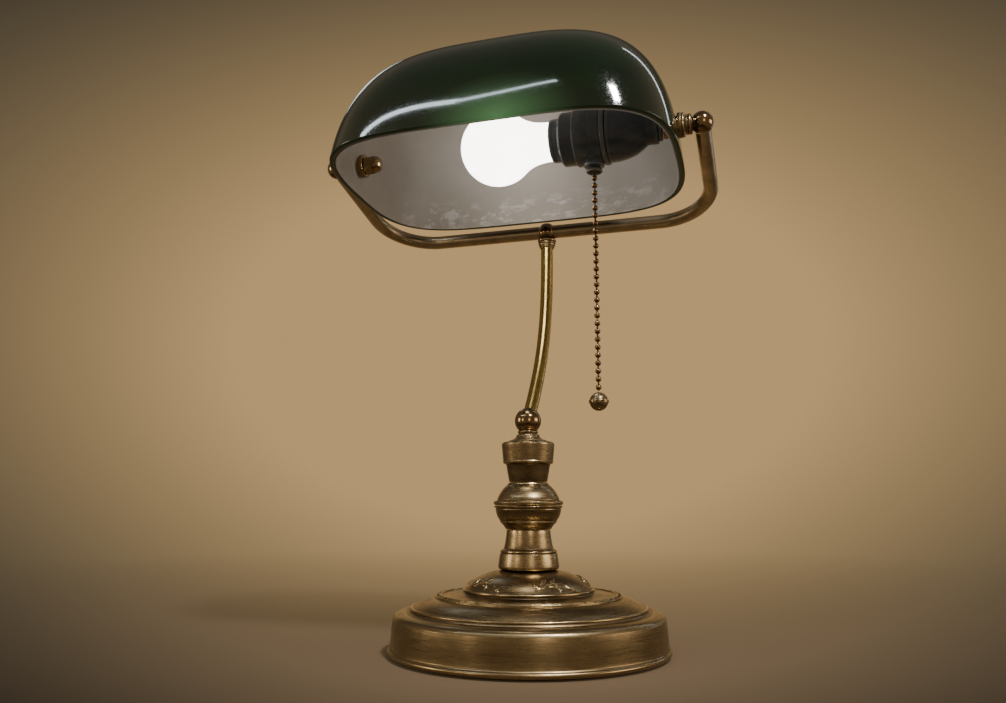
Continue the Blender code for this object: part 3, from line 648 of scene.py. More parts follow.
def build_rope_ring():
    """The ring between the two domes: a sunk channel between two fine beads, crossed by short bars."""
    outline = arc((54.7, 35.3), 0.5, 185, -10, 8)
    outline += [(55.35, 34.95), (55.6, 34.85), (56.9, 34.7), (57.1, 34.75)]
    outline += arc((57.65, 34.85), 0.5, 190, -20, 8)
    outline += [(58.4, 33.4), (53.9, 34.1)]
    mesh = lathe("base_rope_ring", outline, ROPE_BARS * ROPE_STEPS)
    wear = mesh.attributes["wear"].data
    for vert in mesh.vertices:
        radius = math.hypot(vert.co.x, vert.co.y) / MM
        if not ROPE_CHANNEL[0] < radius < ROPE_CHANNEL[1] or vert.co.z < ROPE_LOWEST * MM:
            continue
        share = math.atan2(vert.co.y, vert.co.x) % (2 * math.pi) * ROPE_BARS / (2 * math.pi) % 1.0
        on_bar = abs(share - 0.5) < BAR_SHARE
        wear[vert.index].value = 1.0 if on_bar else -1.0
        if on_bar:
            vert.co.z += BAR_HEIGHT * MM
    mesh.set_sharp_from_angle(angle=math.radians(40))
    stand_in("base_rope_ring", mesh, ANTIQUE, body="base", slot="antique_brass")


SPRAY_RADIUS = 34.0          # turns the sprays' angles round the dome into millimetres
DOME_RUN = 27.0              # millimetres down the dome, from its top to its foot
SPRAY_TURNS = (-54.0, 18.0, 90.0, 162.0, 234.0)
LEAVES = [  # (how far along the stem, heading, length, bend, width)
    (0.0, 18, 8.5, 30, 1.5), (0.12, 125, 6.0, -60, 1.5), (0.34, 98, 6.5, -80, 1.5),
    (0.40, -38, 8.0, 40, 1.3), (0.60, 80, 6.0, -70, 1.4), (0.70, -62, 7.5, -30, 1.3),
    (1.0, -30, 9.0, -45, 1.6),
]
LEAF_STEPS = 8               # faces across a leaf's top


def dome_point(angle, share, lift):
    """A point over the inner dome: share runs 0 at its top to 1 at its foot, lift in millimetres."""
    place = max(0.0, min(0.9999, share)) * (len(DOME) - 1)
    index = int(place)
    part = place - index
    low = Vector(DOME[index])
    high = Vector(DOME[index + 1])
    spot = low.lerp(high, part)
    slope = (high - low).normalized()
    out = Vector((-slope.y, slope.x))
    if out.y < 0:
        out = -out
    spot = spot + out * lift
    return round_z(spot.x, angle, spot.y)


def relief_leaf(shape, point, stem, width, height):
    """A raised tapering leaf on the dome along stem, a list of (angle, share)."""
    last = len(stem) - 1
    rows = []
    for index, (angle, share) in enumerate(stem):
        breadth = width * (math.sin(math.pi * min(1.0, index / last * 0.94 + 0.06)) ** 0.8)
        ahead = stem[min(index + 1, last)]
        behind = stem[max(index - 1, 0)]
        run = Vector(((ahead[0] - behind[0]) * SPRAY_RADIUS, (ahead[1] - behind[1]) * DOME_RUN)).normalized()
        row = []
        for step in range(LEAF_STEPS + 1):
            side = math.cos(math.pi * step / LEAF_STEPS)
            swell = math.sin(math.pi * step / LEAF_STEPS)
            lift = height * swell * (0.35 + 0.65 * breadth / width) - 0.12
            vein = 0.25 * height * math.exp(-(side * 6.0) ** 2)
            offset = Vector((-run.y, run.x)) * side * breadth
            place = dome_point(angle + offset.x / SPRAY_RADIUS, share + offset.y / DOME_RUN, lift - vein)
            row.append(point(place, 1.5 * swell - 0.5))
        rows.append(row)
    for low, high in zip(rows, rows[1:]):
        bridge(shape, low, high)
    shape.faces.new(rows[0])
    shape.faces.new(list(reversed(rows[-1])))


def curl(start, heading, length, bend, count=12):
    """A curving (angle, share) line on the dome: length in millimetres, bend in degrees over it."""
    points = [start]
    direction = math.radians(heading)
    step = length / count
    for _ in range(count):
        angle, share = points[-1]
        direction += math.radians(bend) / count
        points.append((angle + math.cos(direction) * step / SPRAY_RADIUS,
                       share - math.sin(direction) * step / DOME_RUN))
    return points


def build_sprays():
    """A leafy spray raised on the inner dome at each of SPRAY_TURNS."""
    shape, point = new_shape()
    for turn in SPRAY_TURNS:
        stem = curl((math.radians(turn) - 0.26, 0.84), 52, 20, -80, 20)
        relief_leaf(shape, point, stem, 0.9, 0.9)
        for along, heading, length, bend, width in LEAVES:
            start = stem[int(along * (len(stem) - 1))]
            relief_leaf(shape, point, curl(start, heading, length, bend), width, 1.1)
    mesh = finish_mesh("base_leaf_sprays", shape, 60.0)
    stand_in("base_leaf_sprays", mesh, ANTIQUE, body="base", slot="antique_brass")


# ---------------------------------------------------------------- column
def build_column():
    bore = 5.25
    foot = [(13.9, 74.6), (14.1, 71.0), (14.8, 66.6), (15.5, 63.7), (15.7, 63.0), (17.0, 62.5), (17.8, 61.8),
            (17.9, 61.2), (17.5, 60.9), (17.5, 60.5), (18.1, 60.2), (19.2, 52.6), (19.2, 51.9), (18.6, 50.8),
            (17.4, 50.4), (16.8, 50.2)]
    bowl = [(21.5, 89.6), (21.9, 89.2), (21.7, 88.5), (20.9, 88.1), (20.7, 87.7)]
    bowl += curve_through([(20.8, 87.2), (20.5, 85.4), (19.8, 83.2), (18.7, 81.2), (17.9, 80.1)], 5)
    bowl += [(18.1, 79.7), (17.9, 79.3), (17.0, 78.5), (15.9, 77.4), (14.9, 76.0), (14.4, 75.0)]
    dome = [(12.1, 104.0), (12.7, 103.7), (13.0, 103.0)]
    dome += curve_through([(13.7, 102.3), (15.5, 100.7), (17.5, 98.2), (19.1, 95.4), (19.8, 93.5)], 5)
    dome += [(19.9, 92.9), (20.5, 92.6)]
    dome += arc((20.7, 91.3), 1.5, 75, -60, 8) + [(20.9, 89.9)]
    collar = [(13.8, 129.8), (16.0, 129.5), (16.9, 128.6), (17.0, 127.8), (16.0, 117.6), (16.2, 117.2),
              (16.1, 116.4), (15.5, 115.9), (14.3, 115.5), (14.0, 115.1), (13.2, 110.0), (12.4, 105.6),
              (12.1, 104.3)]
    for name, node, outline in (("column_foot_turning", "column_foot", foot),
                                ("lower_vase_turning", "vase_lower", bowl),
                                ("upper_vase_turning", "vase_upper", dome),
                                ("column_collar_turning", "column_collar", collar)):
        top = outline[0][1]
        bottom = outline[-1][1]
        loop = outline + [(bore, bottom), (bore, top)]
        turned(name, ANTIQUE, node, loop, 0.28, 144, least_turn=12.0)

    cap = [(8.0, 132.3), (9.0, 132.1), (9.3, 131.5), (10.6, 131.2), (11.8, 130.7), (12.0, 130.3),
           (13.6, 130.1), (13.8, 129.9), (5.3, 129.9), (5.3, 130.9), (3.0, 130.9), (3.0, 132.3)]
    turned("column_cap_turning", ANTIQUE, "column_cap", cap, 0.22, 128)

    cup = [(6.1, 136.9), (6.5, 136.7), (6.7, 136.0), (6.2, 135.2), (6.1, 134.7), (7.1, 134.4), (7.6, 133.8),
           (7.5, 133.3), (8.2, 132.6), (3.0, 132.6), (3.0, 134.9), (4.3, 135.5)]
    turned("swivel_cup_turning", ANTIQUE, "swivel_cup", cup, 0.22, 96)


# ---------------------------------------------------------------- arm and yoke
ARM_LEAN = math.radians(41.0)
BALL_RADIUS = 8.6
BALL_WALL = 1.6
ARM_RADIUS = 4.4 * MM
ARM_START = 4.7              # millimetres from the ball's centre
ARM_LEAD = 60                # the curve's two handles, in millimetres
ARM_TRAIL = 64
TUBE_GAP = 0.3 * MM
YOKE_RADIUS = 4.8 * MM
YOKE_BEND = 37.6 * MM
YOKE_START = 1.6 * MM        # from the tee ball's centre
YOKE_STOP = 4.8              # millimetres short of the elbow ball's centre
ARM_AXIS = Vector((0.0, math.sin(ARM_LEAN), math.cos(ARM_LEAN)))
YOKE_AXIS = (TILT_AXIS - TEE).normalized()


def arm_path(count):
    """Cubic curve from the ball, leaning back, to the ferrule, upright."""
    start = BALL + ARM_AXIS * ARM_START * MM
    end = Vector((0.0, TEE.y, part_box("tee_ball")[0].z - TUBE_GAP))
    first = BALL + ARM_AXIS * ARM_LEAD * MM
    second = end - Vector((0, 0, ARM_TRAIL * MM))
    points = []
    for step in range(count + 1):
        t = step / count
        points.append((1 - t) ** 3 * start + 3 * (1 - t) ** 2 * t * first
                      + 3 * (1 - t) * t ** 2 * second + t ** 3 * end)
    return points


def yoke_path(side, elbow, bar_steps=14, bend_steps=28, end_steps=12):
    """From inside the tee ball, along the bar, round the bend and up to the elbow ball."""
    corner_x = abs(elbow.x) - YOKE_BEND
    start = TEE + Vector((side * YOKE_START, 0, 0))
    bar = Vector((side * (corner_x - YOKE_START), 0, 0))
    points = [start + bar * share / bar_steps for share in range(bar_steps)]
    for step in range(bend_steps + 1):
        angle = math.pi / 2 * step / bend_steps
        across = corner_x + YOKE_BEND * math.sin(angle)
        points.append(TEE + Vector((side * across, 0, 0)) + YOKE_AXIS * YOKE_BEND * (1 - math.cos(angle)))
    last = points[-1]
    end = elbow - YOKE_AXIS * YOKE_STOP * MM
    points += [last.lerp(end, share / end_steps) for share in range(1, end_steps + 1)]
    return points


def hollow_ball(radius, bore):
    """A ball with a round seat turned into its underside, where the tube enters."""
    opening = -math.degrees(math.acos(bore / radius))
    return arc((0, 0), radius, 90, opening, 40) + [(bore, -radius * 0.55), (0, -radius * 0.5)]


def pointing(axis, centre):
    """Local -Z turned along axis, at centre."""
    turn = Vector((0, 0, -1)).rotation_difference(Vector(axis).normalized()).to_matrix().to_4x4()
    return Matrix.Translation(centre) @ turn


def build_arm():
    ball = arc((0, 0), BALL_RADIUS, 90, -56, 48) + arc((0, 0), BALL_RADIUS - BALL_WALL, -48, 90, 30)
    turned("arm_ball_polished", POLISHED, "arm_ball", ball, None, 96, Matrix.Translation(BALL), closed=False)
    stand_in("swan_neck_tube", swept("swan_neck_tube", arm_path(90), ARM_RADIUS), ARM_BRASS, "arm_tube")

    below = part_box("tee_ball")[0].z / MM
    bore = 4.6
    ferrule = [(6.4, below + 0.1), (6.8, below - 0.7), (6.6, below - 1.4), (6.05, below - 1.7),
               (6.35, below - 2.2), (6.3, below - 2.9), (5.8, below - 3.2), (6.05, below - 3.7),
               (5.95, below - 4.4), (5.45, below - 4.8), (5.5, below - 5.3), (5.2, below - 6.3),
               (bore, below - 6.4), (bore, below - 0.2)]
    over = Matrix.Translation(Vector((0, TEE.y, 0)))
    turned("ferrule_turning", ANTIQUE, "arm_ferrule", ferrule, 0.2, 72, over)
    ball = arc((0, 0), TEE_RADIUS / MM, 90, -90, 48)
    turned("tee_ball_polished", POLISHED, "tee_ball", ball, None, 96, Matrix.Translation(TEE), closed=False)

    neck = [(5.0, 114.2), (5.9, 113.9), (6.2, 113.2), (6.2, 112.4), (5.9, 112.1), (5.9, 111.7), (6.2, 111.4),
            (6.1, 110.6), (4.2, 110.5), (4.2, 114.2)]
    ball = hollow_ball(ELBOW_RADIUS / MM, 4.95)
    for word, side in SIDES.items():
        elbow = ELBOWS[word]
        tube = swept("yoke_tube_" + word, yoke_path(side, elbow), YOKE_RADIUS)
        stand_in("yoke_tube_" + word, tube, YOKE_BRASS, "yoke_" + word)
        turned("elbow_ball_" + word, POLISHED, "elbow_" + word, ball, None, 96, pointing(-YOKE_AXIS, elbow),
               closed=False)
        turned("neck_ring_turning_" + word, ANTIQUE, "neck_ring_" + word, neck, 0.2, 80, ALONG_X[word])


# ---------------------------------------------------------------- shade
SHADE_DEPTH = 84.6
SHADE_HALF_LENGTH = (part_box("shade_glass")[1].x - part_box("shade_glass")[0].x) / 2 / MM
SHADE_HALF_WIDTH = 72.7
SHADE_RIDGE = 43.5
SHADE_LEAN = math.radians(-5.4)
RIM_SQUARENESS = (4.6, 3.1)         # powers in the rim's outline |x/a|^m + |y/b|^n = 1
CREST_SQUARENESS = (3.1, 1.8)       # the same powers just under the crest
END_POWERS = (1.78, 2.69)           # of the shade's length over its height
SIDE_POWER = 2.655                  # of the shade's width over its height
RIM_OFFSET = Vector((0.0, 1.4 * MM, -20.0 * MM))   # from the tilt axis to the middle of the rim
CASING_WALL = 2.7
GLASS_WALL = 3.0
LAYER_GAP = 0.02
RIM_SWELL = 0.9
RIM_FADE = 3.5
RIM_ROUND = 0.9
OUTLINE_POINTS = 200
SKIN_LEVELS = 42
SKIN_HEIGHTS = (0.0, 0.9, 1.8, 2.8, 4.0, 5.5, 7.5, 10.0)
HOLE_RADIUS = 4.45 * MM
DRILL_REACH = 0.13


def shade_outline(height):
    """Half-length, half-width and the two powers of the shade's outline at a height over the rim."""
    rise = min(height / SHADE_DEPTH, 1.0)
    fullness = (1 - rise ** END_POWERS[0]) ** (1 / END_POWERS[1])
    half_length = SHADE_RIDGE + (SHADE_HALF_LENGTH - SHADE_RIDGE) * fullness
    half_width = SHADE_HALF_WIDTH * math.sqrt(max(1 - rise ** SIDE_POWER, 0.0))
    powers = [low + (high - low) * rise for low, high in zip(RIM_SQUARENESS, CREST_SQUARENESS)]
    return half_length, half_width, powers


def oblong_point(half_length, half_width, powers, angle):
    across = math.copysign(abs(math.cos(angle)) ** (2 / powers[0]), math.cos(angle))
    along = math.copysign(abs(math.sin(angle)) ** (2 / powers[1]), math.sin(angle))
    return Vector((half_length * across, half_width * along))


def even_angles(count):
    """Angles whose points lie evenly along the rim; every height uses the same ones."""
    steps = 7200
    fine = [2 * math.pi * step / steps for step in range(steps + 1)]
    points = [oblong_point(*shade_outline(0.0), angle) for angle in fine]
    runs = [0.0]
    for first, second in zip(points, points[1:]):
        runs.append(runs[-1] + (second - first).length)
    angles = []
    index = 0
    for step in range(count):
        target = runs[-1] * step / count
        while runs[index + 1] < target:
            index += 1
        share = (target - runs[index]) / (runs[index + 1] - runs[index])
        angles.append(fine[index] + (fine[index + 1] - fine[index]) * share)
    return angles


def shade_skin(inset):
    """Rings of points, rim to crown, of the shade's surface set in by inset millimetres."""
    angles = even_angles(OUTLINE_POINTS)
    start = math.asin(SKIN_HEIGHTS[-1] / SHADE_DEPTH)
    heights = list(SKIN_HEIGHTS)
    for level in range(1, SKIN_LEVELS + 1):
        angle = start + (math.pi / 2 - start) * level / SKIN_LEVELS
        heights.append(SHADE_DEPTH * math.sin(angle))
    base = []
    for height in heights:
        size = shade_outline(height)
        base.append([Vector((*oblong_point(*size, angle), height)) for angle in angles])
    count = len(angles)
    rings = []
    for level, height in enumerate(heights[:-1]):
        reach = inset + (RIM_SWELL * math.exp(-height / RIM_FADE) if inset else 0.0)
        ring = []
        for i in range(count):
            here = base[level][i]
            along = base[level][(i + 1) % count] - base[level][i - 1]
            above = base[level + 1][i]
            beneath = base[level - 1][i] if level else here - Vector((0, 0, 1))
            normal = along.cross(above - beneath)
            if normal.length < 1e-9:
                normal = Vector((0, 0, 1))
            ring.append(here - normal.normalized() * reach)
        rings.append(ring)
    rings.append([Vector((p.x, 0.0, SHADE_DEPTH - inset)) for p in base[-1]])
    return rings


def shade_shell(name, outer_inset, inner_inset):
    """A closed glass layer between two insets, with a rounded rim."""
    outer = shade_skin(outer_inset)
    inner = shade_skin(inner_inset)
    rim = min(RIM_ROUND, (inner_inset - outer_inset) / 2)
    shape, point = new_shape()
    lips = []
    for step in range(1, 8):
        angle = math.pi * step / 8
        share = (1 - math.cos(angle)) / 2
        drop = rim * (1 - math.sin(angle))
        lips.append([a.lerp(b, share) + Vector((0, 0, drop)) for a, b in zip(outer[0], inner[0])])
    outer[0] = [p + Vector((0, 0, rim)) for p in outer[0]]
    inner[0] = [p + Vector((0, 0, rim)) for p in inner[0]]
    rows = []
    for rings, lip in ((reversed(outer), 0.0), (lips, 1.0), (inner[:1], 1.0), (inner[1:], 0.0)):
        rows += [[point(p * MM, lip) for p in ring] for ring in rings]
    for low, high in zip(rows, rows[1:]):
        bridge(shape, low, high)
    bmesh.ops.remove_doubles(shape, verts=shape.verts, dist=1e-6)
    bmesh.ops.dissolve_degenerate(shape, dist=1e-7, edges=shape.edges)
    return finish_mesh(name, shape, 60.0)


def drilled(obj):
    """Cuts the nipples' round hole through both ends of the shade, along its tilt axis."""
    shape = bmesh.new()
    bmesh.ops.create_cone(shape, cap_ends=True, segments=64, radius1=HOLE_RADIUS, radius2=HOLE_RADIUS,
                          depth=2 * DRILL_REACH,
                          matrix=Matrix.Translation(PIVOT) @ Matrix.Rotation(math.pi / 2, 4, "Y"))
    mesh = bpy.data.meshes.new("nipple_drill")
    shape.to_mesh(mesh)
    shape.free()
    drill = bpy.data.objects.new("nipple_drill", mesh)
    bpy.context.scene.collection.objects.link(drill)
    cut = obj.modifiers.new("Hole", "BOOLEAN")
    cut.operation = "DIFFERENCE"
    cut.solver = "EXACT"
    cut.object = drill
    bpy.context.view_layer.update()
    made = bpy.data.meshes.new_from_object(obj.evaluated_get(bpy.context.evaluated_depsgraph_get()))
    obj.modifiers.clear()
    obj.data = made
    bpy.data.objects.remove(drill)


def build_shade():
    place = Matrix.Translation(PIVOT + RIM_OFFSET) @ Matrix.Rotation(SHADE_LEAN, 4, "X")
    # the painted glow in the casing is placed in the lamp's own frame, so the mesh takes the place itself
    for name, material, outer, inner, nodes in (
            ("shade_green_casing", CASING, 0.0, CASING_WALL, ("shade_glass",)),
            ("shade_opal_lining", LINING, CASING_WALL + LAYER_GAP, GLASS_WALL, ())):
        mesh = shade_shell(name, outer, inner)
        mesh.transform(place)
        drilled(stand_in(name, mesh, material, *nodes, body="shade", slot="green_glass"))

    for word, side in SIDES.items():
        low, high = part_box("collar_" + word)
        face = (high.x if side > 0 else -low.x) / MM
        collar = [(6.8, face), (7.2, face - 0.3), (7.35, face - 0.9), (7.3, face - 1.4), (7.15, face - 1.6),
                  (7.3, face - 1.8), (7.55, face - 2.3), (7.6, face - 3.6), (7.4, face - 4.2),
                  (6.9, face - 4.3), (6.9, face - 2.6), (4.25, face - 2.6), (4.25, face)]
        turned("shade_collar_" + word, ANTIQUE, "collar_" + word, collar, 0.2, 96, ALONG_X[word])

    for layer in ("inner", "outer"):
        for word in SIDES:
            node = "gasket_" + layer + "_" + word
            low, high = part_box(node)
            far = max(abs(low.x), abs(high.x)) / MM
            near = min(abs(low.x), abs(high.x)) / MM
            ring = [(5.9, far), (5.9, near), (4.3, near), (4.3, far)]
            turned("soft_ring_" + layer + "_" + word, RUBBER, node, ring, 0.25, 64, ALONG_X[word])

    inside = -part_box("inner_washer")[0].x / MM
    washer = [(7.5, inside + 2.6), (7.7, inside + 1.6), (7.55, inside), (7.3, inside - 1.5),
              (4.3, inside - 1.5), (4.3, inside), (6.9, inside + 0.2), (6.9, inside + 2.6)]
    turned("acorn_washer", POLISHED, "inner_washer", washer, 0.3, 80, ALONG_X["left"])
    build_acorn_nut(-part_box("acorn_nut")[0].x / MM)

    low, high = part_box("locknut")
    nut = hexagon_nut("shade_locknut", 7.5, 4.95, high.x / MM, low.x / MM)
    stand_in("shade_locknut", nut, POLISHED, "locknut", place=ALONG_X["right"])


def hexagon_nut(name, across_corners, bore, top, bottom):
    """A six-sided nut with bevelled corners, hollow right through."""
    shape, point = new_shape()
    steps = 48
    rings = []
    bevel = 0.5
    for radius, height in ((across_corners - bevel, top), (across_corners, top - bevel),
                           (across_corners, bottom + bevel), (across_corners - bevel, bottom),
                           (bore, bottom), (bore, top)):
        worn = 0.5 if height in (top - bevel, bottom + bevel) else 0.0
        ring = []
        for step in range(steps):
            angle = 2 * math.pi * step / steps
            part = (angle % (math.pi / 3)) - math.pi / 6
            flat = across_corners * math.cos(math.pi / 6) / math.cos(part)
            reach = min(radius, flat) if radius > bore else bore
            ring.append(point(round_z(reach, angle, height), worn))
        rings.append(ring)
    for ring, following in zip(rings, rings[1:] + rings[:1]):
        bridge(shape, ring, following)
    return finish_mesh(name, shape, 28.0)


def build_acorn_nut(seat):
    """Flange, hexagon and domed end of the nut that closes the shade's left end."""
    body = hexagon_nut("acorn_nut_hexagon", 6.45, 4.2, seat, seat - 5.6)
    stand_in("acorn_nut_hexagon", body, POLISHED, "acorn_nut", place=ALONG_X["left"])
    tip = seat - 11.2
    dome = [(0, seat - 4.6), (5.2, seat - 4.6), (5.5, seat - 5.4), (5.5, seat - 6.4), (5.2, seat - 8.0),
            (4.4, seat - 9.4), (3.2, seat - 10.4), (1.7, tip + 0.15), (0, tip)]
    turned("acorn_nut_dome", POLISHED, None, dome, 0.3, 72, ALONG_X["left"], closed=False, least_turn=40,
           body="shade", slot="polished_brass")


# ---------------------------------------------------------------- lampholder and bulb
def build_lampholder():
    right = ALONG_X["right"]
    collar = [(13.0, 34.6), (13.4, 34.2), (13.4, 31.0), (13.25, 29.7), (13.05, 29.1), (12.75, 29.1),
              (12.75, 34.6)]
    turned("socket_collar_moulding", BAKELITE, "socket_collar", collar, 0.2, 96, right)

    body = [(17.4, 64.2), (18.3, 63.9), (18.4, 63.5), (18.4, 61.9), (18.2, 61.5), (17.5, 61.3), (17.5, 60.8),
            (17.8, 60.5), (17.8, 54.2), (17.55, 54.0), (17.55, 53.6), (17.8, 53.4), (17.8, 45.2),
            (17.6, 44.6),
            (16.8, 44.3), (16.6, 43.8), (16.6, 37.0), (16.4, 36.2), (15.5, 35.7), (15.1, 35.0), (13.8, 34.9),
            (13.8, 49.2), (15.1, 49.2), (15.1, 64.2)]
    turned("socket_body_moulding", BAKELITE, "socket_body", body, 0.22, 120, right, least_turn=12)

    cap = [(7.6, 94.6), (9.0, 94.3), (9.3, 93.7), (9.3, 88.2), (9.5, 87.5), (9.9, 87.0)]
    cap += curve_through([(10.2, 86.6), (11.9, 84.3), (13.9, 81.0), (15.6, 76.8), (16.7, 71.9),
                          (17.2, 67.4)])
    cap += [(17.3, 65.2), (17.3, 64.6), (15.6, 64.6), (14.0, 73.0), (11.0, 80.0), (6.6, 84.0), (4.3, 85.0),
            (4.3, 94.6)]

    def ribs(radius, height, angle):
        return 0.22 * (abs(math.sin(angle * 16)) - 0.5) if radius > 9.0 and 88.4 < height < 93.8 else 0.0

    turned("socket_cap_moulding", BAKELITE, "socket_cap", cap, 0.25, 192, right, ripple=ribs)

    bushing = [(6.6, 97.0), (7.7, 96.6), (7.9, 96.0), (7.9, 94.9), (4.3, 94.9), (4.3, 97.0)]
    turned("socket_bushing_moulding", BAKELITE, "socket_bushing", bushing, 0.25, 72, right)

    stem = Matrix.Translation(Vector((CHAIN_TOP.x, CHAIN_TOP.y, 0)))
    axis = PIVOT.z / MM
    boss = [(5.9, axis - 19.8), (6.3, axis - 19.3), (6.3, axis - 18.0), (7.6, axis - 16.4),
            (8.4, axis - 15.4), (3.4, axis - 15.0), (3.4, axis - 19.8)]
    turned("chain_boss", BAKELITE, None, boss, 0.3, 72, stem, body="shade", slot="bakelite")
    mouth = [(2.9, 296.0), (2.9, 293.4), (3.4, 292.6), (4.3, 291.4), (4.9, 290.3), (4.95, 289.7),
             (4.6, 289.2), (4.0, 289.3), (3.0, 290.9), (2.2, 292.6), (2.2, 296.0)]
    turned("bell_mouth_moulding", BAKELITE, "bell_mouth", mouth, 0.2, 64, stem)


def build_bulb():
    globe = 23.6
    middle_of_globe = -6.4
    wall = 0.9
    outer = [(11.9, 29.2)]
    outer += curve_through([(12.0, 26.0), (12.4, 22.0), (13.2, 18.0), (14.6, 14.2), (16.2, 11.3),
                            (17.8, 9.1)])[:-1]
    outer += arc((0, middle_of_globe), globe, 41, -90, 48)
    inner = arc((0, middle_of_globe), globe - wall, -90, 41, 40)
    inner += [(13.4, 14.4), (12.1, 18.4), (11.3, 22.0), (10.9, 29.2)]
    outline = [(0.0, inner[0][1])] + inner[1:] + outer[:-1] + [(0.0, outer[-1][1])]
    turned("lit_bulb_glass", BULB, "bulb_glass", outline, None, 128, ALONG_X["right"], closed=False)

    base = [(5.0, 45.5), (10.4, 43.5)]
    for turn in range(3):
        top = 41.0 - 3.6 * turn
        base += curve_through([(12.6, top), (12.35, top - 1.0), (12.0, top - 1.8), (12.35, top - 2.6)], 3)
    base += [(12.4, 30.2), (12.4, 29.5), (11.95, 29.5), (11.7, 42.7), (5.0, 44.7)]
    turned("bulb_screw_base", NICKEL, "bulb_base", base, None, 80, ALONG_X["right"])


# ---------------------------------------------------------------- pull chain
BEAD_RADIUS = 1.75
BEAD_PITCH = 4.74
LINK_RADIUS = 0.55
LEAD_BEADS = 5
RUN_BEADS = 9
LINK_STUB = BEAD_PITCH - 2 * BEAD_RADIUS - 0.3
END_STUB = 0.6


def bead_string(first, last, stub, end_stub):
    """Outline of beads first..last on their wire, as heights below the lead's lowest bead."""
    cut = math.degrees(math.asin(LINK_RADIUS / BEAD_RADIUS))
    points = []
    if stub:
        top = -first * BEAD_PITCH + BEAD_RADIUS + stub
        points += [(0.0, top), (LINK_RADIUS, top)]
    for bead in range(first, last + 1):
        start = 90 if bead == first and not stub else 90 - cut
        end = -90 if bead == last and not end_stub else cut - 90
        points += arc((0.0, -bead * BEAD_PITCH), BEAD_RADIUS, start, end, 14)
    if end_stub:
        bottom = -last * BEAD_PITCH - BEAD_RADIUS - end_stub
        points += [(LINK_RADIUS, bottom), (0.0, bottom)]
    points[0] = (0.0, points[0][1])
    points[-1] = (0.0, points[-1][1])
    return points


def build_chain():
    hang = Matrix.Translation(CHAIN_TOP)
    runs = [("pull_lead_beads", "chain_lead", bead_string(1 - LEAD_BEADS, 0, 0.0, 0.0))]
    for index, level in enumerate(("upper", "middle", "lower")):
        first = 1 + index * RUN_BEADS
        end_stub = END_STUB if level == "lower" else 0.0
        outline = bead_string(first, first + RUN_BEADS - 1, LINK_STUB, end_stub)
        runs.append((level + "_bead_run", "chain_" + level, outline))
    for name, node, outline in runs:
        turned(name, CHAIN_BRASS, node, outline, None, 28, hang, closed=False)

    size = (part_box("chain_ball")[1].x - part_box("chain_ball")[0].x) / 2 / MM
    groove = size - 0.45
    outline = arc((0, 0), groove, 90, 9, 24)
    outline += [(size - 0.1, 0.85), (size, 0.6), (size, 0.2), (groove, 0.0), (size, -0.2), (size, -0.6),
                (size - 0.1, -0.85)]
    outline += arc((0, 0), groove, -9, -90, 24)
    outline[0] = (0.0, outline[0][1])
    outline[-1] = (0.0, outline[-1][1])
    centre = Matrix.Translation(middle("chain_ball"))
    turned("pull_ball", PULL_BRASS, "chain_ball", outline, None, 72, centre, closed=False)


# ---------------------------------------------------------------- floor and studio light
HORIZON = (0.525, 0.328, 0.134)
OUTSIDE = (0.030, 0.024, 0.016)
ROOM = (0.235, 0.18, 0.12)
CEILING = (0.125, 0.11, 0.094)
CEILING_RISE = (0.55, 0.9)
ROOM_BLEND = 0.24
POOL_FADE = (1.7, 1.55, 1.3)
POOL_SOURCE = (0.149, -0.527, 0.094)
POOL_MIDDLE = (0.027, 0.171)
POOL_STRETCH = (1.145, 1.88)
POOL_EDGE = (0.377, 0.943)
BACKDROP_ACROSS = (0.954, 0.301, 0.0)
BACKDROP_AHEAD = (-0.301, 0.954, 0.0)
FLOOR_RADIUS = 9.0
FLOOR_FADE = (0.08, 1.1)     # from the lamp's own pale floor to the backdrop's colour, which the floor glows with as painted light, in metres
FLOOR_ROOM_SIDE = 0.86
WALL_ROOM_SIDE = 0.70


def pool_share(tree, direction):
    """How near a direction is to the pool of light behind the lamp: 1 in its middle, 0 outside."""
    across = vectors(tree, "DOT_PRODUCT", direction, BACKDROP_ACROSS)
    height = split(tree, direction)[2]
    offsets = [product(tree, maths(tree, "SUBTRACT", value, centre), stretch)
               for value, centre, stretch in zip((across, height), POOL_MIDDLE, POOL_STRETCH)]
    return span(tree, vectors(tree, "LENGTH", joined(tree, *offsets)), *POOL_EDGE, 1.0, 0.0)


def room_share(tree, direction, none):
    """1 in the directions of the rest of the room, and 0 toward the wall behind the lamp."""
    return span(tree, vectors(tree, "DOT_PRODUCT", direction, BACKDROP_AHEAD), none - ROOM_BLEND, none,
                1.0, 0.0)


def backdrop(tree, direction, none):
    """The studio's colour: a pool of light on the wall, dim round it, an even room and a grey ceiling."""
    share = pool_share(tree, direction)
    channels = [total(tree, product(tree, maths(tree, "POWER", share, fade), full), rest)
                for fade, full, rest in zip(POOL_FADE, HORIZON, OUTSIDE)]
    colour = blend_colours(tree, room_share(tree, direction, none), joined(tree, *channels), ROOM)
    return blend_colours(tree, span(tree, split(tree, direction)[2], *CEILING_RISE), colour, CEILING)


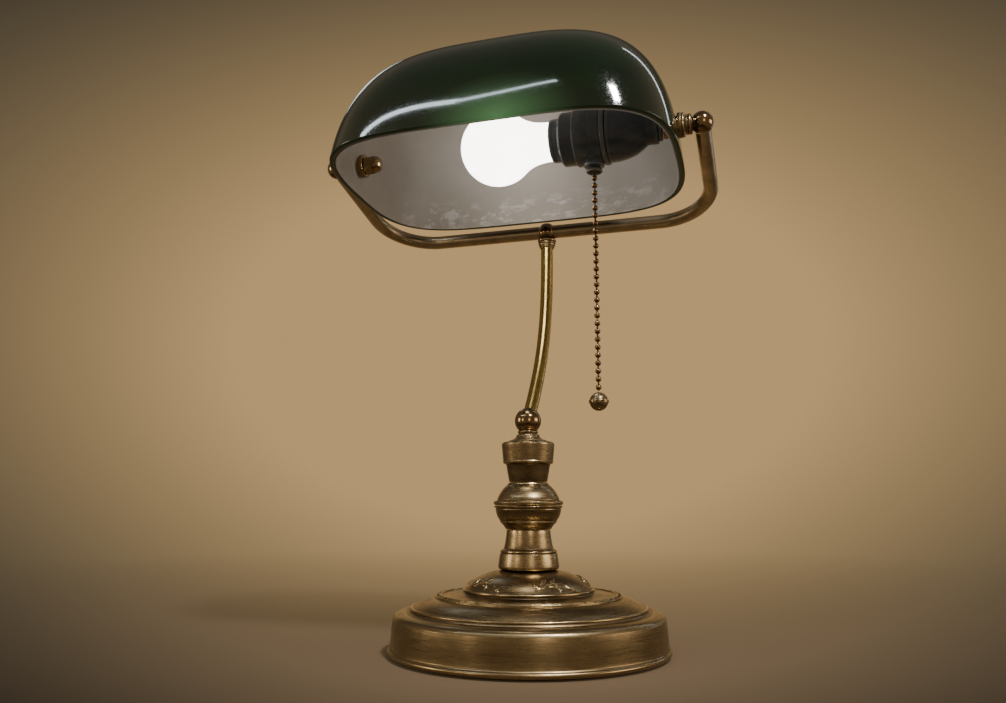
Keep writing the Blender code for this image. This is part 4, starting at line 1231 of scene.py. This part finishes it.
def floor_material():
    """Pale near the lamp, darker where it lies outside the pool of light and the room side (a painted shade), and
    farther off glowing with the backdrop's colour, its painted pool of light included.
    """
    material, tree, shader = new_material("pale_floor", Roughness=0.8, Specular_IOR_Level=0.0)
    place = place_of(tree)
    away = vectors(tree, "LENGTH", place)
    far = maths(tree, "POWER", span(tree, away, *FLOOR_FADE), 0.37)
    outward = vectors(tree, "NORMALIZE", vectors(tree, "SUBTRACT", place, POOL_SOURCE))
    near = blend_colours(tree, noise(tree, place, 3.0, 2.0), (0.175, 0.122, 0.074), (0.19, 0.132, 0.080))
    # lit: where the floor is seen against the pool of light or the room; elsewhere its near colour is painted
    # dark, a painted shade
    lit = maths(tree, "MAXIMUM", span(tree, pool_share(tree, outward), 0.05, 0.42),
                room_share(tree, outward, FLOOR_ROOM_SIDE))
    near = blend_colours(tree, lit, (0.045, 0.032, 0.02), near)
    # far off, the floor glows with the backdrop's colour, a painted pool of light
    drive(tree, shader, Base_Color=blend_colours(tree, far, near, (0.0, 0.0, 0.0)),
          Emission_Color=backdrop(tree, outward, FLOOR_ROOM_SIDE), Emission_Strength=far)
    return material


def build_stage():
    floor_mesh = bpy.data.meshes.new("floor")
    shape = bmesh.new()
    bmesh.ops.create_circle(shape, cap_ends=True, segments=96, radius=FLOOR_RADIUS)
    shape.to_mesh(floor_mesh)
    shape.free()
    floor_mesh.materials.append(floor_material())
    floor = bpy.data.objects.new("floor", floor_mesh)
    bpy.context.scene.collection.objects.link(floor)

    world = bpy.data.worlds.new("studio")
    world.use_nodes = True
    tree = world.node_tree
    direction = add_node(tree, "TexCoord").outputs["Generated"]
    tree.links.new(backdrop(tree, direction, WALL_ROOM_SIDE), tree.nodes["Background"].inputs["Color"])
    bpy.context.scene.world = world


def toward(azimuth, elevation):
    """The direction from the lamp at an azimuth (0 is the front, 90 the +X side) and elevation."""
    turn = math.radians(azimuth)
    rise = math.radians(elevation)
    return Vector((math.sin(turn) * math.cos(rise), -math.cos(turn) * math.cos(rise), math.sin(rise)))


LIGHT_AIM = Vector((0.0, -0.03, 0.22))
LIGHT_DISTANCE = 1.5


def soft_box(name, start, end, width, power, colour=(1.0, 1.0, 1.0)):
    """A soft box or strip whose ends lie at two (azimuth, elevation) directions from the lamp."""
    first = LIGHT_AIM + toward(*start) * LIGHT_DISTANCE
    last = LIGHT_AIM + toward(*end) * LIGHT_DISTANCE
    centre = (first + last) / 2
    data = bpy.data.lights.new(name, "AREA")
    data.shape = "RECTANGLE"
    data.size = (last - first).length
    data.size_y = width
    data.energy = power
    data.color = colour
    along = (last - first).normalized()
    back = (centre - LIGHT_AIM).normalized()
    across = back.cross(along).normalized()
    back = along.cross(across)
    light = bpy.data.objects.new(name, data)
    light.matrix_world = Matrix((along, across, back)).transposed().to_4x4()
    light.location = centre
    light.visible_camera = False
    bpy.context.scene.collection.objects.link(light)


COOL = (0.82, 0.93, 1.0)
WARM = (1.0, 0.85, 0.65)


def build_lights():
    soft_box("key", (40, 48), (48, 48), 0.2, 22)
    soft_box("shade_strip_left", (-57, 35), (-24, 42.5), 0.055, 1.6, COOL)
    soft_box("shade_strip_right", (-24, 42.5), (-4, 50.5), 0.035, 0.45, COOL)
    soft_box("right_end_strip", (139, -4), (150, 60), 0.045, 0.85, COOL)
    soft_box("left_back", (-146, 38), (-130, 38), 0.2, 0.3, COOL)
    soft_box("left_window", (-66, -4), (-66, 14), 0.32, 3.1, WARM)
    soft_box("left_front_window", (-31, -4), (-31, 14), 0.2, 1.3, WARM)
    soft_box("front_window", (28, -4), (28, 14), 0.32, 1.45, WARM)
    soft_box("right_window", (93, -4), (93, 16), 0.75, 5.0, WARM)


build_base()
build_column()
build_arm()
build_shade()
build_lampholder()
build_bulb()
build_chain()
build_stage()
build_lights()
